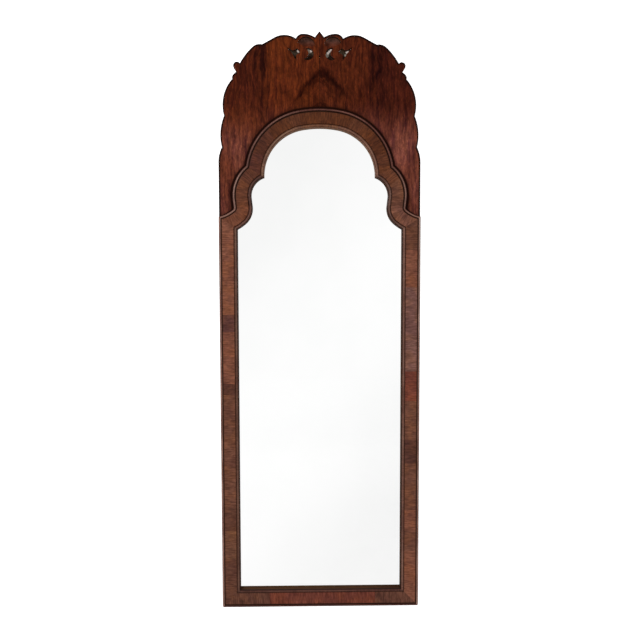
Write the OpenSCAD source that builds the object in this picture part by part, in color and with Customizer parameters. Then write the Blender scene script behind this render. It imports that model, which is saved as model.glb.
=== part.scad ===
// Pier mirror: a tall arched frame, cross-banded in walnut with half-round beads, under a fretted crest board.
// Millimetres. +X is to the right, +Z is up and the front faces -Y.
// The origin is the middle of the bottom edge of the frame's back. The pieces are drawn lying on their back:
// a depth is measured forward from the back of the frame, so what stands behind it has a negative depth.

/* [Frame] */
// Width over the two stiles
frame_w = 495; // [450:1:540]
// Height of the outer corner where a stile meets the arched head
stile_h = 981; // [800:1:1200]
// Width of the moulding, from its outer edge to the sight edge
rail_w = 45; // [42:0.5:50]
// Thickness of the pine carcass
carcass_t = 20; // [19:0.5:26]
// Thickness of the half lap behind each bottom mitre
lap_t = 10; // [9.8:0.1:12]
// Radius worn on the two bottom corners
corner_r = 4; // [2:0.5:6]

/* [Arched head, along its outer edge] */
// Radius of the flat arc at the top
crown_r = 285; // [260:1:330]
// Radius of each haunch
haunch_r = 158; // [154:0.5:164]
// Haunch centre, out from the middle of the frame
haunch_out = 23; // [19:0.5:27]
// Haunch centre, above the stile's outer corner
haunch_up = 100.5; // [96:0.5:104]
// Radius of each shoulder
shoulder_r = 91; // [86:0.5:96]
// Lean of the short straight below the shoulder
lean_tilt = 6.7; // [3:0.1:10]
// Length of that straight
lean_len = 19.8; // [15:0.1:26]
// Kink below the straight, in from the stile's outer edge
kink_in = 32.4; // [30:0.1:36]
// Radius of the outer edge at the kink
kink_r = 5; // [3:0.5:7]
// Radius of the toe that sweeps out to the stile
toe_r = 80; // [74:1:90]
// Direction from the kink to the toe's centre
toe_dir = 50; // [47:0.5:53]

/* [Facing] */
// Thickness of the cross-banded veneer
veneer_t = 1.6; // [1:0.1:2.2]
// Width of the outer half-round bead
outer_bead_w = 5.8; // [5.6:0.1:7]
// Rise of the outer bead's round
outer_bead_rise = 2.7; // [2.2:0.1:2.7]
// Width of the bead at the sight edge
inner_bead_w = 8; // [7:0.1:9]
// Height of the straight side under each bead's round
bead_foot = 0.6; // [0.4:0.1:1]
// Rise of the sight bead's round
inner_bead_rise = 2.8; // [2.2:0.1:3.4]
// Groove between the outer bead and the veneer
outer_quirk = 1.6; // [1:0.1:2.4]
// Groove between the veneer and the sight bead
inner_quirk = 1; // [0.8:0.1:1.6]
// Hairline between neighbouring strips of veneer
strip_gap = 0.15; // [0.1:0.05:0.4]

/* [Glass and back] */
// Thickness of the looking glass
glass_t = 4; // [3:0.5:5]
// Wood left in front of the glass
lip_t = 10.5; // [8:0.5:12]
// Width of the rebate that holds the glass
glass_rebate = 8; // [6:0.5:9]
// Space round the edge of the glass
glass_gap = 1; // [0.6:0.1:1.6]
// Thickness of the lining paper behind the glass
paper_t = 0.5; // [0.3:0.1:0.6]
// Width of the rebate that holds the backboards
board_rebate = 14; // [12:0.5:17]
// Space round and between the backboards
board_gap = 0.8; // [0.6:0.1:1.4]
// Seam below the arched backboard, down from the stile's outer corner
seam_down = 76; // [60:1:120]
// Number of straight backboards below the arched one
straight_boards = 3; // [3:3]
// Length of each setting block under the glass
setting_block_l = 30; // [20:1:50]
// Distance between the two setting blocks
setting_block_span = 240; // [160:5:300]

/* [Crest board] */
// Height of the finial tip above the stile's outer corner
crest_h = 447; // [432:0.5:460]
// Thickness of the crest board
crest_t = 9; // [7:0.5:12]
// Thickness of the crest veneer
crest_veneer_t = 1.2; // [0.8:0.1:2]
// Diameter of the small round hole below the finial
peg_hole_d = 4; // [2:0.5:6]
// Middle of that hole, down from the finial's tip
peg_down = 61; // [52:1:90]

/* [Battens] */
// Width of each batten behind the crest
batten_w = 28; // [22:1:34]
// Thickness of each batten, which is the gap to the wall
batten_t = 6; // [5.8:0.1:9]
// Middle of each batten, from the middle of the crest
batten_x = 110; // [104:1:116]
// Foot of each batten, above the stile's outer corner
batten_up = 204; // [202:1:212]
// Length of each batten
batten_l = 190; // [150:1:195]
// Distance of the end screws from a batten's ends
batten_screw_in = 12; // [10:1:16]

/* [Hangers] */
// Hinge line of the hanger rings, down from the stile's outer corner
hanger_down = 121; // [90:1:400]
// Hinge line, behind the frame's back
hanger_out = 3; // [2.95:0.05:3.2]
// Middle of each hanger, in from the stile's outer edge
hanger_in = 15.5; // [14.5:0.5:17]
// Width of the hanger plate
hanger_plate_w = 14; // [12:0.5:15]
// Height of the hanger plate
hanger_plate_h = 28; // [26:1:40]
// Thickness of the hanger plate
hanger_plate_t = 1.2; // [1:0.1:1.3]
// Room round each screw head of a plate, so that the ring can fold up over it
hanger_screw_room = 1; // [0.6:0.1:1.2]
// Wire of the ring
ring_wire = 3; // [2.5:0.1:3]
// Width of the ring between the middles of its legs
ring_w = 22; // [20:0.5:24]
// Straight part of the ring's legs
ring_leg = 12; // [10:0.5:20]
// Length of the knuckle that the ring turns in
knuckle_l = 12; // [8:0.5:13]
// Wall of the knuckle
knuckle_wall = 1.2; // [0.8:0.1:1.2]
// Radial play of the ring in its knuckle
ring_play = 0.075; // [0.03:0.005:0.1]

/* [Wall pads] */
// Diameter of the cork pads at the bottom corners
pad_d = 20; // [14:1:24]
// Middle of each pad, in from the outer edges
pad_in = 16; // [13:0.5:17]

/* [Screws] */
// Shank of the hanger screws
hanger_screw_d = 3; // [2.5:0.1:3.5]
// Length of the hanger screws in the wood
hanger_screw_l = 13; // [8:0.5:15]
// Head of the hanger screws
hanger_head_d = 6.4; // [5.5:0.1:7]
// Rise of the hanger screws' round head
hanger_head_h = 1.8; // [1.4:0.1:2.2]
// Shank of the batten screws
batten_screw_d = 3.5; // [3:0.1:4]
// Length of the batten screws
batten_screw_l = 13; // [10:0.5:14]
// Head of the batten screws
batten_head_d = 7; // [6:0.1:8]
// Shank of the backboard screws
board_screw_d = 2.4; // [2:0.1:2.8]
// Length of the backboard screws
board_screw_l = 12; // [8:0.5:14]
// Head of the backboard screws
board_head_d = 4.6; // [4:0.1:5]
// Width of the slot in a screw head
slot_w = 0.7; // [0.5:0.1:0.9]
// Depth of the slot in a screw head
slot_deep = 0.7; // [0.5:0.1:0.9]

/* [Hidden] */
$fn = 96;
LEFT = -1;
RIGHT = 1;

// Larger than the whole mirror, for cutting tools
reach = 4 * (frame_w + stile_h + crest_h);
// Extra angle that an arc runs past its mitre before it is cut there
past_mitre = 8;
// Furthest that a straight step of a curved outline strays from its arc
chord_fit = 0.05;

half_w = frame_w / 2;
sight_x = half_w - rail_w;
field_start = outer_bead_w + outer_quirk;
field_end = rail_w - inner_bead_w - inner_quirk;
field_front = carcass_t + veneer_t;
glass_front = carcass_t - lip_t;
glass_back = glass_front - glass_t;
board_t = glass_back - paper_t;

// A point one unit away in the direction of an angle
function toward(angle) = [cos(angle), sin(angle)];
function bearing(v) = atan2(v.y, v.x);

// Where two circles cross, on the left of the line from the first centre to the second
function meet(c1, r1, c2, r2) =
    let (gap = norm(c2 - c1), along = (r1 * r1 - r2 * r2 + gap * gap) / (2 * gap), u = (c2 - c1) / gap)
    c1 + along * u + sqrt(r1 * r1 - along * along) * [-u.y, u.x];

// Centres of the arcs of the right half of the head, as [across, up]
haunch = [haunch_out, stile_h + haunch_up];
crown_half = asin(haunch.x / (crown_r - haunch_r));
crown = [0, haunch.y - (crown_r - haunch_r) * cos(crown_half)];
kink_x = half_w - kink_in;
toe_x = kink_x + (toe_r - kink_r) * cos(toe_dir);
toe = [toe_x, stile_h + sqrt(toe_r * toe_r - pow(toe_x - half_w, 2))];
kink = toe - (toe_r - kink_r) * toward(toe_dir);
lean_foot = kink - kink_r * toward(-lean_tilt);
shoulder = lean_foot - shoulder_r * toward(-lean_tilt) + lean_len * toward(90 - lean_tilt);

// The two mitres of the right half of the head, each from its sight edge to its outer edge
cusp_sight = meet(haunch, haunch_r - rail_w, shoulder, shoulder_r - rail_w);
cusp_outer = meet(haunch, haunch_r, shoulder, shoulder_r);
cusp_mitre = bearing(cusp_outer - cusp_sight);
toe_sight = [sight_x, toe.y - sqrt(pow(toe_r + rail_w, 2) - pow(toe.x - sight_x, 2))];
toe_outer = [half_w, stile_h];
toe_mitre = bearing(toe_outer - toe_sight);

// Ends of the arcs, as angles about their centres
haunch_foot = bearing(cusp_sight - haunch) - past_mitre;
shoulder_top = bearing(cusp_sight - shoulder) + past_mitre;
toe_turn = bearing(toe_outer - toe) + 180 + past_mitre - toe_dir;

// Points round an arc
function along_arc(centre, radius, from, to, first = 1) =
    let (steps = ceil(abs(to - from) / (2 * acos(1 - chord_fit / radius))))
    [for (i = [first:steps]) centre + radius * toward(from + (to - from) * i / steps)];

// The right half of the head at an inset from its outer edge, from the crown down to the stile at end_x
function head_path(inset, end_x) =
    let (
        cusp = meet(haunch, haunch_r - inset, shoulder, shoulder_r - inset),
        toe_stop = 360 - acos((end_x - toe.x) / (toe_r + inset))
    )
    concat(
        along_arc(crown, crown_r - inset, 90, 90 - crown_half, first = 0),
        along_arc(haunch, haunch_r - inset, 90 - crown_half, bearing(cusp - haunch)),
        along_arc(shoulder, shoulder_r - inset, bearing(cusp - shoulder), -lean_tilt),
        along_arc(kink, kink_r + inset, 180 - lean_tilt, 180 + toe_dir, first = 0),
        along_arc(toe, toe_r + inset, 180 + toe_dir, toe_stop)
    );

function backward(points) = [for (i = [len(points) - 1:-1:0]) points[i]];
function tail(points) = [for (i = [1:len(points) - 1]) points[i]];
function flip(points) = [for (point = backward(points)) [-point.x, point.y]];

// Joints between strips of veneer, as shares of the stile's height and of the rail's width
left_joints = [0.126, 0.2, 0.264, 0.376, 0.552, 0.58, 0.712, 0.755];
right_joints = [0.144, 0.198, 0.252, 0.373, 0.434, 0.534, 0.61, 0.823, 0.917];
bottom_joints = [0.24, 0.78];
// Joints between the arch's strips, as angles about the haunch's centre
arch_joints = [22, 44, 66, 90 - crown_half];
shoulder_joints = [28];

// Screws of the backboards: how far from each straight board's ends, and at which angles round the arched one
board_screw_in = 26;
arch_screw_angles = [12, 36, 60];

// ---- Sections of the moulding: [distance in from the outer edge, depth] ----

module carcass_section() {
    seat = rail_w - board_rebate;
    rebate = rail_w - glass_rebate;
    polygon([
        [0, 0], [0, carcass_t], [rail_w, carcass_t], [rail_w, glass_front],
        [rebate, glass_front], [rebate, board_t], [seat, board_t], [seat, 0]
    ]);
}

module field_section() {
    translate([field_start, carcass_t]) square([field_end - field_start, veneer_t]);
}

// A bead's section: a low foot under a round
module bead_section(start, width, rise) {
    half = width / 2;
    radius = (half * half + rise * rise) / (2 * rise);
    translate([start, carcass_t]) square([width, bead_foot]);
    intersection() {
        translate([start + half, carcass_t + bead_foot + rise - radius]) circle(radius);
        translate([start, carcass_t]) square([width, 2 * radius]);
    }
}

module outer_bead_section() {
    bead_section(0, outer_bead_w, outer_bead_rise);
}

module sight_bead_section() {
    bead_section(rail_w - inner_bead_w, inner_bead_w, inner_bead_rise);
}

// ---- Carrying a section along the frame ----

// Stands a piece up that was drawn lying on its back
module stand() {
    rotate([90, 0, 0]) children();
}

module on_side(side) {
    mirror([side == LEFT ? 1 : 0, 0, 0]) children();
}

module both_sides() {
    children();
    mirror([1, 0, 0]) children();
}

// Carries a section round a centre, from the X axis. Its inner edge lies nearer the centre, or further away
module turn(radius, angle, away = false) {
    rotate_extrude(angle = angle, $fn = 180) translate([radius, 0]) mirror([away ? 0 : 1, 0]) children();
}

module arc(centre, radius, from, to) {
    translate([centre.x, centre.y, 0]) rotate([0, 0, from]) turn(radius, to - from) children();
}

// A straight of the given length, whose section points inward
module straight(start, inward, length) {
    translate([start.x, start.y, 0])
        rotate([0, 0, inward]) rotate([90, 0, 0]) linear_extrude(length) children();
}

// Everything beyond a line through a point, on the side that the angle points to
module beyond(point, angle) {
    translate([point.x, point.y, 0])
        rotate([0, 0, angle]) translate([0, -reach / 2, -reach / 2]) cube(reach);
}

module crown_run() {
    arc(crown, crown_r, 90 - crown_half, 90 + crown_half) children();
}

module haunch_run() {
    difference() {
        arc(haunch, haunch_r, haunch_foot, 90 - crown_half) children();
        beyond(cusp_sight, cusp_mitre - 90);
    }
}

// The shoulder and the leaning straight below it
module shoulder_run() {
    difference() {
        translate([shoulder.x, shoulder.y, 0]) rotate([0, 0, -lean_tilt]) {
            turn(shoulder_r, shoulder_top + lean_tilt) children();
            straight([shoulder_r, -lean_len], 180, lean_len) children();
        }
        beyond(cusp_sight, cusp_mitre + 90);
    }
}

// The kink and the toe below it
module toe_run() {
    difference() {
        translate([kink.x, kink.y, 0]) rotate([0, 0, 180 + toe_dir]) {
            mirror([0, 1, 0]) turn(kink_r, toe_dir + lean_tilt, away = true) children();
            translate([kink_r - toe_r, 0, 0]) turn(toe_r, toe_turn, away = true) children();
        }
        beyond(toe_sight, toe_mitre - 90);
    }
}

module stile_run(bottom_mitre = true) {
    difference() {
        straight([half_w, 0], 180, stile_h) children();
        beyond(toe_sight, toe_mitre + 90);
        if (bottom_mitre) beyond([sight_x, rail_w], -135);
    }
}

module bottom_run() {
    difference() {
        straight([-half_w, 0], 90, frame_w) children();
        both_sides() beyond([sight_x, rail_w], 45);
    }
}

// Rounds the two bottom corners of what it is given
module worn_corners() {
    difference() {
        children();
        both_sides() translate([half_w - corner_r, 0, 0]) difference() {
            translate([0, -corner_r, -reach / 2]) cube([2 * corner_r, 2 * corner_r, reach]);
            translate([0, corner_r, -reach / 2]) cylinder(r = corner_r, h = reach);
        }
    }
}

// ---- Pine carcass ----

// The rebates for the glass and the backboards, where the frame is straight
module straight_rebates() {
    glass_x = sight_x + glass_rebate;
    board_x = sight_x + board_rebate;
    translate([-glass_x, rail_w - glass_rebate, board_t]) cube([2 * glass_x, stile_h, glass_front - board_t]);
    translate([-board_x, rail_w - board_rebate, -1]) cube([2 * board_x, stile_h, board_t + 1]);
}

module stile(side) {
    color("burlywood") stand() on_side(side) worn_corners() difference() {
        stile_run(bottom_mitre = false) square([rail_w, carcass_t]);
        straight_rebates();
        translate([sight_x, 0, lap_t]) cube([rail_w, rail_w, carcass_t]);
        hanger_pilots();
        straight_board_holes();
    }
}

module left_stile() { stile(LEFT); }

module right_stile() { stile(RIGHT); }

module bottom_rail() {
    color("burlywood") stand() worn_corners() difference() {
        translate([-half_w, 0, 0]) cube([frame_w, rail_w, carcass_t]);
        straight_rebates();
        both_sides() translate([sight_x, 0, -1]) cube([rail_w, rail_w, lap_t + 1]);
    }
}

module toe_block(side) {
    color("burlywood") stand() on_side(side) toe_run() carcass_section();
}

module left_toe_block() { toe_block(LEFT); }

module right_toe_block() { toe_block(RIGHT); }

module shoulder_block(side) {
    color("burlywood") stand() on_side(side) shoulder_run() carcass_section();
}

module left_shoulder_block() { shoulder_block(LEFT); }

module right_shoulder_block() { shoulder_block(RIGHT); }

module haunch_block(side) {
    color("burlywood") stand() on_side(side) difference() {
        haunch_run() carcass_section();
        batten_holes();
        arched_board_holes();
    }
}

module left_haunch_block() { haunch_block(LEFT); }

module right_haunch_block() { haunch_block(RIGHT); }

module crown_block() {
    color("burlywood") stand() crown_run() carcass_section();
}

// ---- Cross-banded veneer, in separate strips ----

// Cuts hairlines across a stile's strips, or the rail's when across is true
module strip_joints(shares, length, start = 0, across = false) {
    for (share = shares)
        if (across) translate([start + share * length - strip_gap / 2, -1, 0]) cube([strip_gap, rail_w + 2, carcass_t * 2]);
        else translate([sight_x - 1, start + share * length - strip_gap / 2, 0]) cube([rail_w + 2, strip_gap, carcass_t * 2]);
}

// Cuts a hairline along a radius, at an angle about a centre
module radial_joint(centre, angle) {
    translate([centre.x, centre.y, 0])
        rotate([0, 0, angle]) translate([0, -strip_gap / 2, 0]) cube([crown_r, strip_gap, carcass_t * 2]);
}

// Half a hairline's width off a mitre
module mitre_joint(point, angle) {
    translate([point.x, point.y, 0])
        rotate([0, 0, angle]) translate([-rail_w, -strip_gap / 2, 0]) cube([3 * rail_w, strip_gap, carcass_t * 2]);
}

module stile_banding(side, joints) {
    color("saddlebrown") stand() on_side(side) difference() {
        stile_run() field_section();
        strip_joints(joints, stile_h);
        mitre_joint(toe_sight, toe_mitre);
        mitre_joint([sight_x, rail_w], -45);
    }
}

module left_stile_banding() { stile_banding(LEFT, left_joints); }

module right_stile_banding() { stile_banding(RIGHT, right_joints); }

module bottom_banding() {
    color("saddlebrown") stand() difference() {
        bottom_run() field_section();
        strip_joints(bottom_joints, frame_w, start = -half_w, across = true);
    }
}

module toe_banding(side) {
    color("saddlebrown") stand() on_side(side) toe_run() field_section();
}

module left_toe_banding() { toe_banding(LEFT); }

module right_toe_banding() { toe_banding(RIGHT); }

module shoulder_banding(side) {
    color("saddlebrown") stand() on_side(side) difference() {
        shoulder_run() field_section();
        for (angle = shoulder_joints) radial_joint(shoulder, angle);
        mitre_joint(cusp_sight, cusp_mitre);
        mitre_joint(lean_foot, 180 - lean_tilt);
    }
}

module left_shoulder_banding() { shoulder_banding(LEFT); }

module right_shoulder_banding() { shoulder_banding(RIGHT); }

module arch_banding() {
    color("saddlebrown") stand() difference() {
        union() {
            crown_run() field_section();
            both_sides() haunch_run() field_section();
        }
        both_sides() for (angle = arch_joints) radial_joint(haunch, angle);
    }
}

// ---- Beads ----

module left_stile_bead() { outer_bead() on_side(LEFT) worn_corners() stile_run() outer_bead_section(); }

module right_stile_bead() { outer_bead() on_side(RIGHT) worn_corners() stile_run() outer_bead_section(); }

module bottom_bead() { outer_bead() worn_corners() bottom_run() outer_bead_section(); }

module left_toe_bead() { outer_bead() on_side(LEFT) toe_run() outer_bead_section(); }

module right_toe_bead() { outer_bead() on_side(RIGHT) toe_run() outer_bead_section(); }

module left_shoulder_bead() { outer_bead() on_side(LEFT) shoulder_run() outer_bead_section(); }

module right_shoulder_bead() { outer_bead() on_side(RIGHT) shoulder_run() outer_bead_section(); }

module left_haunch_bead() { outer_bead() on_side(LEFT) haunch_run() outer_bead_section(); }

module right_haunch_bead() { outer_bead() on_side(RIGHT) haunch_run() outer_bead_section(); }

module crown_bead() { outer_bead() crown_run() outer_bead_section(); }

module left_sight_bead() { sight_bead() on_side(LEFT) stile_run() sight_bead_section(); }

module right_sight_bead() { sight_bead() on_side(RIGHT) stile_run() sight_bead_section(); }

module bottom_sight_bead() { sight_bead() bottom_run() sight_bead_section(); }

module left_toe_sight_bead() { sight_bead() on_side(LEFT) toe_run() sight_bead_section(); }

module right_toe_sight_bead() { sight_bead() on_side(RIGHT) toe_run() sight_bead_section(); }

module left_shoulder_sight_bead() { sight_bead() on_side(LEFT) shoulder_run() sight_bead_section(); }

module right_shoulder_sight_bead() { sight_bead() on_side(RIGHT) shoulder_run() sight_bead_section(); }

module left_haunch_sight_bead() { sight_bead() on_side(LEFT) haunch_run() sight_bead_section(); }

module right_haunch_sight_bead() { sight_bead() on_side(RIGHT) haunch_run() sight_bead_section(); }

module crown_sight_bead() { sight_bead() crown_run() sight_bead_section(); }

module outer_bead() {
    color("sienna") stand() children();
}

module sight_bead() {
    color("sienna") stand() children();
}

// ---- Crest board ----

// Points of a shallow arc from p to q, which bulges by the given rise to the left of that line
function bow(p, q, rise, steps = 8) =
    let (chord = norm(q - p), along = (q - p) / chord, out = [-along.y, along.x])
    abs(rise) < 0.01 ? [q] :
    let (half = 2 * atan(2 * rise / chord), radius = chord / 2 / sin(half), middle = (p + q) / 2)
    [for (i = [1:steps]) let (turn = -half + 2 * half * i / steps)
        middle + along * radius * sin(turn) + out * radius * (cos(turn) - cos(half))];

function bows(stops, i = 1) =
    i >= len(stops) ? [] :
    concat(bow([stops[i - 1].x, stops[i - 1].y], [stops[i].x, stops[i].y], stops[i].z), bows(stops, i + 1));

// Places on the crest: measured from its middle and top, or from the stile's outer edge and corner
function from_top(across, drop, rise) = [across, stile_h + crest_h - drop, rise];
function from_corner(inset, up, rise) = [half_w - inset, stile_h + up, rise];

// The right half of the scalloped edge, from the finial down: each stop, and the rise of the arc that leads to it
crest_stops = [
    from_top(0, 0, 0),
    from_top(11, 14.4, 0.3),
    from_top(43, 6.1, 2.7),
    from_top(57.5, 17.4, 2.2),
    from_top(108, 14.3, 7),
    from_top(139.5, 31.5, 0),
    from_corner(84.5, 409, 3.2),
    from_corner(54.2, 370.5, 2),
    from_corner(38.7, 361, 8.4),
    from_corner(47.1, 350.6, 0),
    from_corner(36.2, 341.5, 1),
    from_corner(35.5, 333.5, 0.8),
    from_corner(14.7, 245, 11.7),
    from_corner(8.6, 169.5, 6.1),
    from_corner(0, 137, 1.7)
];

module crest_outline() {
    edge = bows(crest_stops);
    foot = backward(head_path(-chord_fit, half_w));
    polygon(concat([[0, stile_h + crest_h]], edge, foot, tail(flip(foot)), flip(edge)));
}

// The eye is where two discs overlap, and the comma is a disc with a bite taken out of it: centres and radii
eye_at = [32.5, -33];
eye_r = 20.6;
eye_lid_at = [25.9, 7];
eye_lid_r = 43.6;
comma_at = [29, -54.5];
comma_r = 14.4;
comma_bite_at = [39.5, -52.5];
comma_bite_r = 12.6;

// The tulip's edge, from its outer horn: across and down from the finial's tip
tulip_stops = [
    [81.5, -36.5, 0],
    [66, -45.5, 0.5],
    [55, -40, 1.5],
    [46.5, -52.5, -1.2],
    [56.5, -57, 1],
    [54.5, -70.5, 0.8],
    [67.5, -51.5, -1],
    [81.5, -36.5, -0.5]
];

// The pierced fretwork on the right of the finial: an eye, a comma and a tulip
module fretwork() {
    translate([0, stile_h + crest_h]) {
        intersection() {
            translate(eye_at) circle(eye_r);
            translate(eye_lid_at) circle(eye_lid_r);
        }
        difference() {
            translate(comma_at) circle(comma_r);
            translate(comma_bite_at) circle(comma_bite_r);
        }
        polygon(bows(tulip_stops));
    }
}

module crest_shape() {
    difference() {
        crest_outline();
        both_sides() fretwork();
        translate([0, stile_h + crest_h - peg_down]) circle(d = peg_hole_d);
    }
}

module crest_board() {
    color("tan") stand() difference() {
        linear_extrude(crest_t) crest_shape();
        both_sides() batten_holes();
    }
}

module crest_veneer(side) {
    color("brown") stand() on_side(side) translate([0, 0, crest_t]) linear_extrude(crest_veneer_t) intersection() {
        crest_shape();
        translate([strip_gap / 2, stile_h]) square([half_w, crest_h]);
    }
}

module left_crest_veneer() { crest_veneer(LEFT); }

module right_crest_veneer() { crest_veneer(RIGHT); }

// ---- Battens ----

batten_foot = stile_h + batten_up;
batten_screw_heights = [
    batten_foot + batten_screw_in,
    batten_foot + batten_l / 2,
    batten_foot + batten_l - batten_screw_in
];

module countersunk_screw(shank, length, head) {
    cone = (head - shank) / 2;
    difference() {
        union() {
            cylinder(d = shank, h = length);
            cylinder(d1 = head, d2 = shank, h = cone);
        }
        translate([-slot_w / 2, -head, -1]) cube([slot_w, 2 * head, slot_deep + 1]);
    }
}

// The hole that such a screw sits in
module countersunk_hole(shank, length, head) {
    cylinder(d = shank, h = length);
    cylinder(d1 = head, d2 = shank, h = (head - shank) / 2);
}

module batten_places() {
    for (height = batten_screw_heights) translate([batten_x, height, -batten_t]) children();
}

module batten_holes() {
    batten_places() countersunk_hole(batten_screw_d, batten_screw_l, batten_head_d);
}

module batten(side) {
    color("peru") stand() on_side(side) difference() {
        translate([batten_x - batten_w / 2, batten_foot, -batten_t]) cube([batten_w, batten_l, batten_t]);
        batten_holes();
    }
}

module left_batten() { batten(LEFT); }

module right_batten() { batten(RIGHT); }

module batten_screws() {
    color("goldenrod") stand() both_sides() batten_places()
        countersunk_screw(batten_screw_d, batten_screw_l, batten_head_d);
}

// ---- Glass and its bed ----

// The opening's area, grown outward by a distance
module sight_area(grow) {
    head = head_path(rail_w - grow, sight_x + grow);
    foot = [[sight_x + grow, rail_w - grow]];
    polygon(concat(head, foot, flip(foot), backward(tail(backward(flip(head))))));
}

module mirror_plate() {
    color("lightsteelblue") stand()
        translate([0, 0, glass_back]) linear_extrude(glass_t) sight_area(glass_rebate - glass_gap);
}

module lining_paper() {
    color("dimgray") stand()
        translate([0, 0, board_t]) linear_extrude(paper_t) sight_area(glass_rebate - glass_gap);
}

module setting_blocks() {
    color("chocolate") stand() both_sides()
        translate([setting_block_span / 2 - setting_block_l / 2, rail_w - glass_rebate, glass_back])
            cube([setting_block_l, glass_gap, glass_t]);
}

// ---- Backboards ----

board_edge = board_rebate - board_gap;
board_foot = rail_w - board_edge;
head_board_z = stile_h - seam_down;
board_pitch = (head_board_z - board_foot) / straight_boards;
board_screw_out = (glass_rebate + board_edge) / 2;
board_screw_x = sight_x + board_screw_out;
board_screw_r = haunch_r - rail_w + board_screw_out;

module board_screw_spots() {
    for (i = [0:straight_boards - 1], end = [board_screw_in, board_pitch - board_gap - board_screw_in])
        translate([board_screw_x, board_foot + i * board_pitch + end, 0]) children();
}

module arched_screw_spots() {
    for (angle = arch_screw_angles)
        translate([haunch.x + board_screw_r * cos(angle), haunch.y + board_screw_r * sin(angle), 0]) children();
}

module straight_board_holes() {
    board_screw_spots() countersunk_hole(board_screw_d, board_screw_l, board_head_d);
}

module arched_board_holes() {
    arched_screw_spots() countersunk_hole(board_screw_d, board_screw_l, board_head_d);
}

module backboard(from, to) {
    color("wheat") stand() difference() {
        linear_extrude(board_t) intersection() {
            sight_area(board_edge);
            translate([-half_w, from]) square([frame_w, to - from]);
        }
        both_sides() straight_board_holes();
        both_sides() arched_board_holes();
    }
}

module straight_backboard(i) {
    backboard(board_foot + i * board_pitch, board_foot + (i + 1) * board_pitch - board_gap);
}

module lower_backboard() { straight_backboard(0); }

module middle_backboard() { straight_backboard(1); }

module upper_backboard() { straight_backboard(2); }

module arched_backboard() { backboard(head_board_z, stile_h + crest_h); }

module backboard_screws() {
    color("goldenrod") stand() both_sides() {
        board_screw_spots() countersunk_screw(board_screw_d, board_screw_l, board_head_d);
        arched_screw_spots() countersunk_screw(board_screw_d, board_screw_l, board_head_d);
    }
}

// ---- Hangers: drawn round the hinge line, with +X across, +Y up and +Z to the front ----

hanger_x = half_w - hanger_in;
hanger_z = stile_h - hanger_down;
knuckle_r = ring_wire / 2 + ring_play + knuckle_wall;
screw_room_r = hanger_head_d / 2 + hanger_screw_room;

// The two screws of a plate, above the hinge line: next to the knuckle, and within the bow of a ring folded up
hanger_screw_ups = [knuckle_r + screw_room_r, ring_leg + (ring_w - ring_wire) / 2 - screw_room_r];

module at_hanger(side) {
    stand() on_side(side) translate([hanger_x, hanger_z, -hanger_out]) children();
}

module hanger_screw_spots() {
    for (up = hanger_screw_ups)
        translate([0, up, hanger_out - hanger_plate_t]) children();
}

module hanger_pilots() {
    translate([hanger_x, hanger_z, -hanger_out]) hanger_screw_spots()
        cylinder(d = hanger_screw_d, h = hanger_plate_t + hanger_screw_l);
}

module hanger_plate(side) {
    color("gold") at_hanger(side) difference() {
        union() {
            translate([-hanger_plate_w / 2, -knuckle_r, hanger_out - hanger_plate_t])
                cube([hanger_plate_w, hanger_plate_h, hanger_plate_t]);
            translate([-knuckle_l / 2, 0, 0]) rotate([0, 90, 0]) cylinder(r = knuckle_r, h = knuckle_l);
            translate([-knuckle_l / 2, -knuckle_r, 0]) cube([knuckle_l, 2 * knuckle_r, hanger_out]);
        }
        translate([-ring_w, 0, 0]) rotate([0, 90, 0]) cylinder(r = ring_wire / 2 + ring_play, h = 2 * ring_w);
        hanger_screw_spots() translate([0, 0, -1]) cylinder(d = hanger_screw_d, h = hanger_plate_t + 2);
    }
}

module left_hanger_plate() { hanger_plate(LEFT); }

module right_hanger_plate() { hanger_plate(RIGHT); }

module hanger_ring(side) {
    color("khaki") at_hanger(side) {
        translate([-ring_w / 2, 0, 0]) rotate([0, 90, 0]) cylinder(d = ring_wire, h = ring_w);
        for (end = [-1, 1]) {
            translate([end * ring_w / 2, 0, 0]) sphere(d = ring_wire);
            translate([end * ring_w / 2, 0, 0]) rotate([90, 0, 0]) cylinder(d = ring_wire, h = ring_leg);
        }
        translate([0, -ring_leg, 0]) rotate([0, 0, 180])
            rotate_extrude(angle = 180) translate([ring_w / 2, 0]) circle(d = ring_wire, $fn = 48);
    }
}

module left_hanger_ring() { hanger_ring(LEFT); }

module right_hanger_ring() { hanger_ring(RIGHT); }

module round_head() {
    half = hanger_head_d / 2;
    radius = (half * half + hanger_head_h * hanger_head_h) / (2 * hanger_head_h);
    difference() {
        intersection() {
            translate([0, 0, radius - hanger_head_h]) sphere(radius);
            translate([0, 0, -hanger_head_h]) cylinder(r = half, h = hanger_head_h);
        }
        translate([-slot_w / 2, -half, -hanger_head_h - 1]) cube([slot_w, 2 * half, slot_deep + 1]);
    }
}

module hanger_screws() {
    color("goldenrod") for (side = [LEFT, RIGHT]) at_hanger(side) hanger_screw_spots() {
        round_head();
        cylinder(d = hanger_screw_d, h = hanger_plate_t + hanger_screw_l);
    }
}

// ---- Wall pads ----

module wall_pads() {
    color("sandybrown") stand() both_sides()
        translate([half_w - pad_in, pad_in, -batten_t]) cylinder(d = pad_d, h = batten_t);
}

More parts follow.
